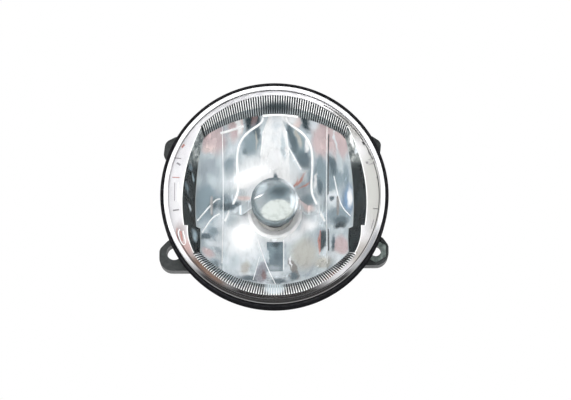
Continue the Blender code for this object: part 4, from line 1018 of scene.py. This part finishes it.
def make_marks():
    """Moulding marks on the silver ring: snap tabs, witness marks and a U-shaped gate mark; with them a
    painted shadow line along the ring's outer edge and a painted glint along the top of the opening.
    """
    mesh = bmesh.new()
    tabs = (
        # x, z, length, width, angle, material
        (-38.4, 14.9, 3, 0.5, -4, 1),
        (-37.9, 12.6, 1.7, 0.9, -30, 1),
        (-36.2, 19.8, 1.6, 0.9, 50, 2),
        (-38.9, 7.2, 2.8, 0.45, 0, 2),
        (-39.4, 1.5, 0.25, 8.6, 0, 1),
        (-38, 1.5, 0.2, 8.6, 0, 0),
        (-38.8, -5.9, 2.4, 0.7, 10, 1),
        # A tab at the right in the lacquer's colour; the grey lines that follow are painted shadow round it.
        (38.3, 13.7, 2.6, 1.3, 22, 4),
        (38.4, 12.7, 2.6, 0.35, 22, 1),
        (38.2, 14.7, 2.2, 0.3, 22, 1),
        (36.6, 13.2, 0.9, 1.3, 60, 1),
        (35.3, 20.9, 1.4, 0.9, -55, 3),
        (40.6, 7, 0.7, 0.5, 0, 3),
        (41, 4.6, 0.35, 0.8, 0, 3),
        (39.8, -5.4, 1.9, 0.4, -4, 3),
        (37.3, 17, 0.3, 2.2, 20, 1),
        (38.6, -11.5, 0.3, 4.4, -16, 1),
    )
    for x, z, length, width, angle, material in tabs:
        turn = radians(angle)
        reach = Vector((cos(turn), sin(turn))) * length / 2
        path = [(x + reach.x * k, z + reach.y * k) for k in (-1, -0.85, 0, 0.85, 1)]
        bead(mesh, path, width, 0.16, cone_y, material)
    gate = [(-37.3, -13.6), (-38, -15.2), (-36.6, -19.4), (-35.2, -20), (-34.8, -18.8), (-36, -14.2)]
    bead(mesh, along(gate), 0.4, 0.18, cone_y)
    bead(mesh, along([(-36.9, -14.4), (-36.2, -18.6)]), 0.9, 0.08, cone_y, 2)
    bead(mesh, along([(-38.3, -13), (-38.5, -15.6), (-37.2, -19.6)]), 0.35, 0.1, cone_y, 2)
    # A painted shadow line along the ring's outer edge, round the right and the bottom.
    bead(mesh, arc_points((0, 41.35), 62, -158, [i / 180 for i in range(181)]), 0.45, 0.08, cone_y, 3)
    # A painted glint along the top of the opening.
    glint = along([(-4.8, 33), (0, 33.5), (5, 33.2), (9.4, 32.7)])
    bead(mesh, glint, 0.9, 0.3, lambda x, z: WINDOW_Y - 0.3)
    finishes = ("edge_line", "mark_grey", "mark_rose", "mark_dark", "bezel_lacquer")
    piece("bezel_marks", mesh, "bezel", finishes, 40)


# -------- reflector


def read_table(table, z):
    """Linear reading of a table of (z, value) pairs, from high z to low."""
    if z >= table[0][0]:
        return table[0][1]
    for (z0, v0), (z1, v1) in zip(table, table[1:]):
        if z >= z1:
            return v1 + (v0 - v1) * (z - z1) / (z0 - z1)
    return table[-1][1]


def reflector_edge(z):
    """Half-width of the mirror at a height: bowed sides, within the housing's round bore."""
    side = MIRROR_HALF_WIDTH - max(0.0, abs(z) - 10) ** 2 * 0.004
    return min(side, sqrt(max(MIRROR_RADIUS**2 - z**2, 0.01)))


def strip_bounds(z):
    """Half-widths at which the mirror's upright strips meet, from the middle to the outer edge."""
    edge = reflector_edge(z)
    crease = min(CREASE_X, edge - 0.05)
    arch = min(read_table(ARCH, z), crease - 0.1)
    return [0.0, min(read_table(COLUMN, z), arch - 0.05), arch, crease, edge]


def mirror_y(x, z):
    """Depth of the faceted mirror: a paraboloid, with each strip bulging or hollowed between its creases."""
    bounds = strip_bounds(z)
    reach = min(abs(x), bounds[-1])
    strip = next(i for i in range(4) if reach <= bounds[i + 1] + 1e-9)
    share = (reach - bounds[strip]) / (bounds[strip + 1] - bounds[strip])
    if strip == 0:
        share = 0.5 + share / 2
    return VERTEX - (x * x + z * z) / (4 * FOCUS) + STRIP_HOLLOW[strip] * 4 * share * (1 - share)


def make_reflector():
    rows = 160
    mesh = bmesh.new()
    grid = []
    for r in range(rows + 1):
        z = MIRROR_TOP - 2 * MIRROR_TOP * r / rows
        bounds = strip_bounds(z)
        half = []
        for low, high, cells in zip(bounds, bounds[1:], STRIP_CELLS):
            half += [low + (high - low) * c / cells for c in range(cells)]
        half.append(bounds[-1])
        row = [-x for x in reversed(half[1:])] + half
        grid.append([mesh.verts.new((x, mirror_y(x, z), z)) for x in row])
    middle = len(grid[0]) // 2
    for upper, lower in zip(grid, grid[1:]):
        for i in range(len(upper) - 1):
            corners = [upper[i], upper[i + 1], lower[i + 1], lower[i]]
            if all(hypot(v.co.x, v.co.z) < HOLE_RADIUS + 1.1 for v in corners):
                continue
            face = mesh.faces.new(corners)
            face.material_index = 0 if i < middle else 1
            if middle - STRIP_CELLS[0] <= i < middle + STRIP_CELLS[0]:
                face.material_index = middle_finish(corners[0].co.z, face.material_index)
    finishes = ("mirror_left", "mirror_right", "mirror_column", "mirror_painted_pane", "moulded_grey")
    mirror = ("reflector_mirror", mesh, "reflector", finishes, 8)
    shell = thicken(piece(*mirror, replaces=("reflector",), facing=to_front), 0.6)
    shell.material_offset = finishes.index("moulded_grey")
    make_creases()
    make_reflector_back()


def middle_finish(z, plain):
    """The middle strip is a column painted with a bright reflection above the bulb, with a pane of dark
    painted reflection in it below.
    """
    if z > COLUMN_FOOT:
        return 2
    return 3 if PAINTED_DARK_PANE[0] < z < PAINTED_DARK_PANE[1] else plain


def make_creases():
    """The fine rounded edges where the mirror's strips meet, and its small steps, drawn in white as painted
    highlights; among the strokes, dark ones are painted shade and a rose one painted reflection.
    """
    mesh = bmesh.new()
    arch = [(x, z) for z, x in ARCH]
    for side in (-1, 1):
        bead(mesh, along([(side * x, z) for x, z in arch[:-1]]), 0.95, 0.25, mirror_y)
        bead(mesh, along([(side * CREASE_X, z) for z in (30.5, 15, 0, -15, -25)], 1.2), 0.28, 0.15, mirror_y)
        column = [(side * x, z) for z, x in COLUMN if 20 < z < 33]
        bead(mesh, along(column), 0.5, 0.2, mirror_y)
    strokes = (
        # material, width, points
        (0, 0.45, ((-7, -12), (-3.4, -24), (0.4, -33.4))),
        (0, 0.5, ((3.6, -12), (3.6, -26.5))),
        (0, 0.3, ((-6.2, -20), (-7.4, -26), (-8.6, -32))),
        (0, 1.3, ((-21.9, 27.5), (-17, 29.6), (-12.6, 31.2))),
        (0, 0.6, ((-31, -7.6), (-27.4, -2), (-23.9, 3), (-22, 3.6))),
        (0, 0.6, ((-29, -12.3), (-25.4, -5), (-22.2, -2.4))),
        (1, 0.5, ((21.7, 27), (21.7, 5))),
        (1, 0.6, ((21.7, -9), (21.7, -19))),
        (0, 0.5, ((5.6, 24.5), (8.4, 20), (10.8, 16.2))),
        (0, 0.5, ((15.6, 6), (18, -1), (20.4, -5.6))),
        (0, 0.4, ((24, 12), (26.5, 0), (30.5, -5.5))),
        (2, 0.5, ((18.5, -9), (18.3, -19))),
    )
    for material, width, points in strokes:
        bead(mesh, along(points), width, 0.2, mirror_y, material)
    piece("reflector_creases", mesh, "reflector", ("edge_line", "mark_dark", "mark_rose"), 50)


def make_reflector_back():
    """The neck round the bulb, the arms of the tilt pivots and the lug of the adjuster's nut."""
    neck = [(9.8, 25.6), (10.1, 25.2), (11, 25.1), (11.5, 25.5), (11.4, 29.4), (7.8, 29.4), (7.8, 28.4)]
    # The neck takes the near-white edge finish as a painted highlight.
    piece("reflector_neck", revolve(neck, 64), "reflector", ("edge_line",))
    arms = bmesh.new()
    for side in (-1, 1):
        box(arms, (side * 26.25 - 1.25, 12.5, -4), (side * 26.25 + 1.25, 22, 4))
    box(arms, (-6.7, 18.5, ADJUSTER_Z - 5.5), (6.7, 21.5, -23.5))
    for side in (-1, 1):
        box(arms, (side * 6.0 - 0.6, 8, -34.5), (side * 6.0 + 0.6, 21, -29))
    bevel(piece("reflector_arms", arms, "reflector", ("moulded_grey",)), 0.4)


def make_shield():
    """The cap in front of the bulb: a shallow face, a rounded shoulder and a short wall, open behind."""
    face = [(0, 0.9), (2, 0.88), (5, 0.8), (7.6, 0.62), (8.15, 0.7), (8.5, 1), (8.75, 1.5), (9.3, 1.7)]
    wall = [(9.45, 2), (9.45, 8), (8.8, 8), (8.8, 2.3), (8.1, 1.9), (7.6, 1.5), (0, 1.7)]
    cup = revolve(face + wall, 96)
    piece("bulb_shield_cup", cup, "reflector", ("shield_coat",), 30, replaces=("bulb_shield",))
    legs = bmesh.new()
    for side in (-1, 1):
        leg(legs, side)
    for face in legs.faces:
        face.material_index = 0 if face.calc_center_median().x < 0 else 1
    # The legs take the mirror's finishes, with its painted reflections, to blend into it.
    bevel(piece("bulb_shield_legs", legs, "reflector", ("mirror_left", "mirror_right"), 40), 0.15, 1)


def leg(mesh, side):
    """A sheet-metal strip from the cup's wall back to the mirror, with a foot on it."""
    x0 = 17.0
    y0 = VERTEX - x0 * x0 / (4 * FOCUS)
    slope = Vector((x0 / (2 * FOCUS), 1)).normalized()
    along_mirror = Vector((slope.y, -slope.x))
    foot = Vector((x0, y0)) - slope * 0.9
    spine = [Vector((9.2, 5)), Vector((9.25, 8.6)), Vector((9.9, 10.2))]
    spine.append(foot - along_mirror * 3.4 + Vector((-0.5, -0.9)))
    spine += [foot - along_mirror * 2.3, foot + along_mirror * 2.6]
    rows = []
    for i, point in enumerate(spine):
        heading = (spine[min(i + 1, len(spine) - 1)] - spine[max(i - 1, 0)]).normalized()
        across = Vector((heading.y, -heading.x)) * 0.3
        for sign in (-1, 1):
            place = point + across * sign
            rows.append([mesh.verts.new((side * place.x, place.y, z)) for z in (-2, 2)])
    ring = rows[0::2] + rows[1::2][::-1]
    for first, second in zip(ring, ring[1:] + ring[:1]):
        mesh.faces.new((first[0], first[1], second[1], second[0]))
    for end in (0, 1):
        mesh.faces.new([row[end] for row in ring])


# -------- materials of the CAD nodes that stay


NODE_FINISHES = {
    "natural_nylon": ("pivot_cup_left", "pivot_cup_right", "pivot_stud_left", "pivot_stud_right",
                      "adjuster_nut", "adjuster_screw"),
    "black_rubber": ("lens_seal", "vent_cap", "adjuster_seal", "bulb_seal"),
    "vent_fabric": ("vent_membrane",),
    "dull_zinc": ("captive_nut",),
    "zinc_steel": ("adjuster_retainer", "bulb_ferrule"),
    # The rivets take the mirror's painted reflections.
    "mirror_left": ("shield_rivet_left",),
    "mirror_right": ("shield_rivet_right",),
    "rim_plastic": ("bulb_base",),
    "quartz": ("bulb_glass",),
    "drawn_wire": ("filament", "lead_front", "lead_rear"),
    "tinned_copper": ("terminal_left", "terminal_right"),
}


def dress_nodes():
    """Give the CAD nodes that stay visible their finishes."""
    for finish, names in NODE_FINISHES.items():
        for name in names:
            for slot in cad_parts[name].material_slots:
                slot.material = LOOKS[finish]


# -------- studio


def make_camera():
    e = CAMERA_ELEVATION
    ahead = Vector((0, cos(e), -sin(e)))
    up = Vector((0, sin(e), cos(e)))
    data = bpy.data.cameras.new("camera")
    data.lens = CAMERA_LENS
    data.sensor_width = 36
    data.clip_start = 0.01
    camera = in_scene("camera", data)
    target = Vector((CAMERA_RIGHT, RIM_FRONT * MM, 0)) - up * CAMERA_DOWN
    camera.location = target - ahead * CAMERA_DISTANCE
    camera.rotation_mode = "QUATERNION"
    camera.rotation_quaternion = ahead.to_track_quat("-Z", "Y")
    bpy.context.scene.camera = camera


def make_world():
    """White to the eye. In reflections, a white room, dim high up in front and warm to the left."""
    world = bpy.data.worlds.new("studio")
    bpy.context.scene.world = world
    world.use_nodes = True
    world.node_tree.nodes.clear()
    nodes = Nodes(world.node_tree)
    direction = nodes.add("ShaderNodeTexCoord").outputs["Generated"]
    x, y, z = nodes.add("ShaderNodeSeparateXYZ", {0: direction}).outputs
    high, ahead = nodes.fade(z, 0.35, 0.75), nodes.fade(y, 0.3, -0.2)
    dim = nodes.add("ShaderNodeMath", {0: high, 1: ahead}, operation="MULTIPLY").outputs[0]
    room = nodes.mix(nodes.fade(x, -0.25, -0.75), (1.0, 1.0, 1.0), (0.82, 0.78, 0.73))
    room = nodes.mix(dim, room, (0.30, 0.31, 0.33))
    lit = nodes.add("ShaderNodeBackground", {"Color": room, "Strength": 1.35}).outputs[0]
    seen = nodes.add("ShaderNodeBackground", {"Color": (1, 1, 1)}).outputs[0]
    eye = nodes.add("ShaderNodeLightPath").outputs["Is Camera Ray"]
    chosen = nodes.add("ShaderNodeMixShader", {0: eye, 1: lit, 2: seen}).outputs[0]
    nodes.add("ShaderNodeOutputWorld", {"Surface": chosen})


def area_light(name, place, size, power, colour=(1, 1, 1), target=(0, 0, 0), mirrored=False, roll=0):
    data = bpy.data.lights.new(name, "AREA")
    data.shape = "ELLIPSE"
    data.size, data.size_y = size
    data.energy = power
    data.color = colour
    light = in_scene(name, data)
    light.location = place
    light.rotation_mode = "QUATERNION"
    light.rotation_quaternion = (Vector(target) - Vector(place)).to_track_quat("-Z", "Y")
    light.rotation_quaternion @= Quaternion((0, 0, 1), radians(roll))
    light.visible_camera = False
    light.visible_glossy = mirrored
    light.visible_transmission = False


def make_studio():
    """A pale floor well below the light, soft lamps and the room that they stand in."""
    make_world()
    floor = bmesh.new()
    bmesh.ops.create_grid(floor, x_segments=1, y_segments=1, size=3)
    ground = mesh_object("floor", floor)
    ground.location.z = -0.28
    ground.data.materials.append(LOOKS["pale_floor"])
    area_light("key", (-0.15, -1.0, 0.05), (0.5, 0.4), 9)
    area_light("fill", (0.7, -0.5, 0.15), (0.3, 0.6), 1.5, (0.94, 0.97, 1.0))
    area_light("back", (0.2, 0.7, 0.5), (0.6, 0.4), 6)
    # Two lamps that the lens reflects, a slanting bar and a round flash, each aimed at where it shows.
    bar, spot = (-0.011, -0.019, 0.007), (-0.014, -0.018, -0.018)
    area_light("window", (-0.118, -0.68, 0.204), (0.2, 0.024), 0.85, target=bar, mirrored=True, roll=20)
    area_light("flash", (-0.150, -0.72, -0.075), (0.06, 0.08), 1.0, target=spot, mirrored=True)


make_camera()
make_materials()
make_housing()
make_lens()
make_bezel()
make_reflector()
make_shield()
dress_nodes()
make_studio()
bpy.context.scene.view_settings.view_transform = "Standard"
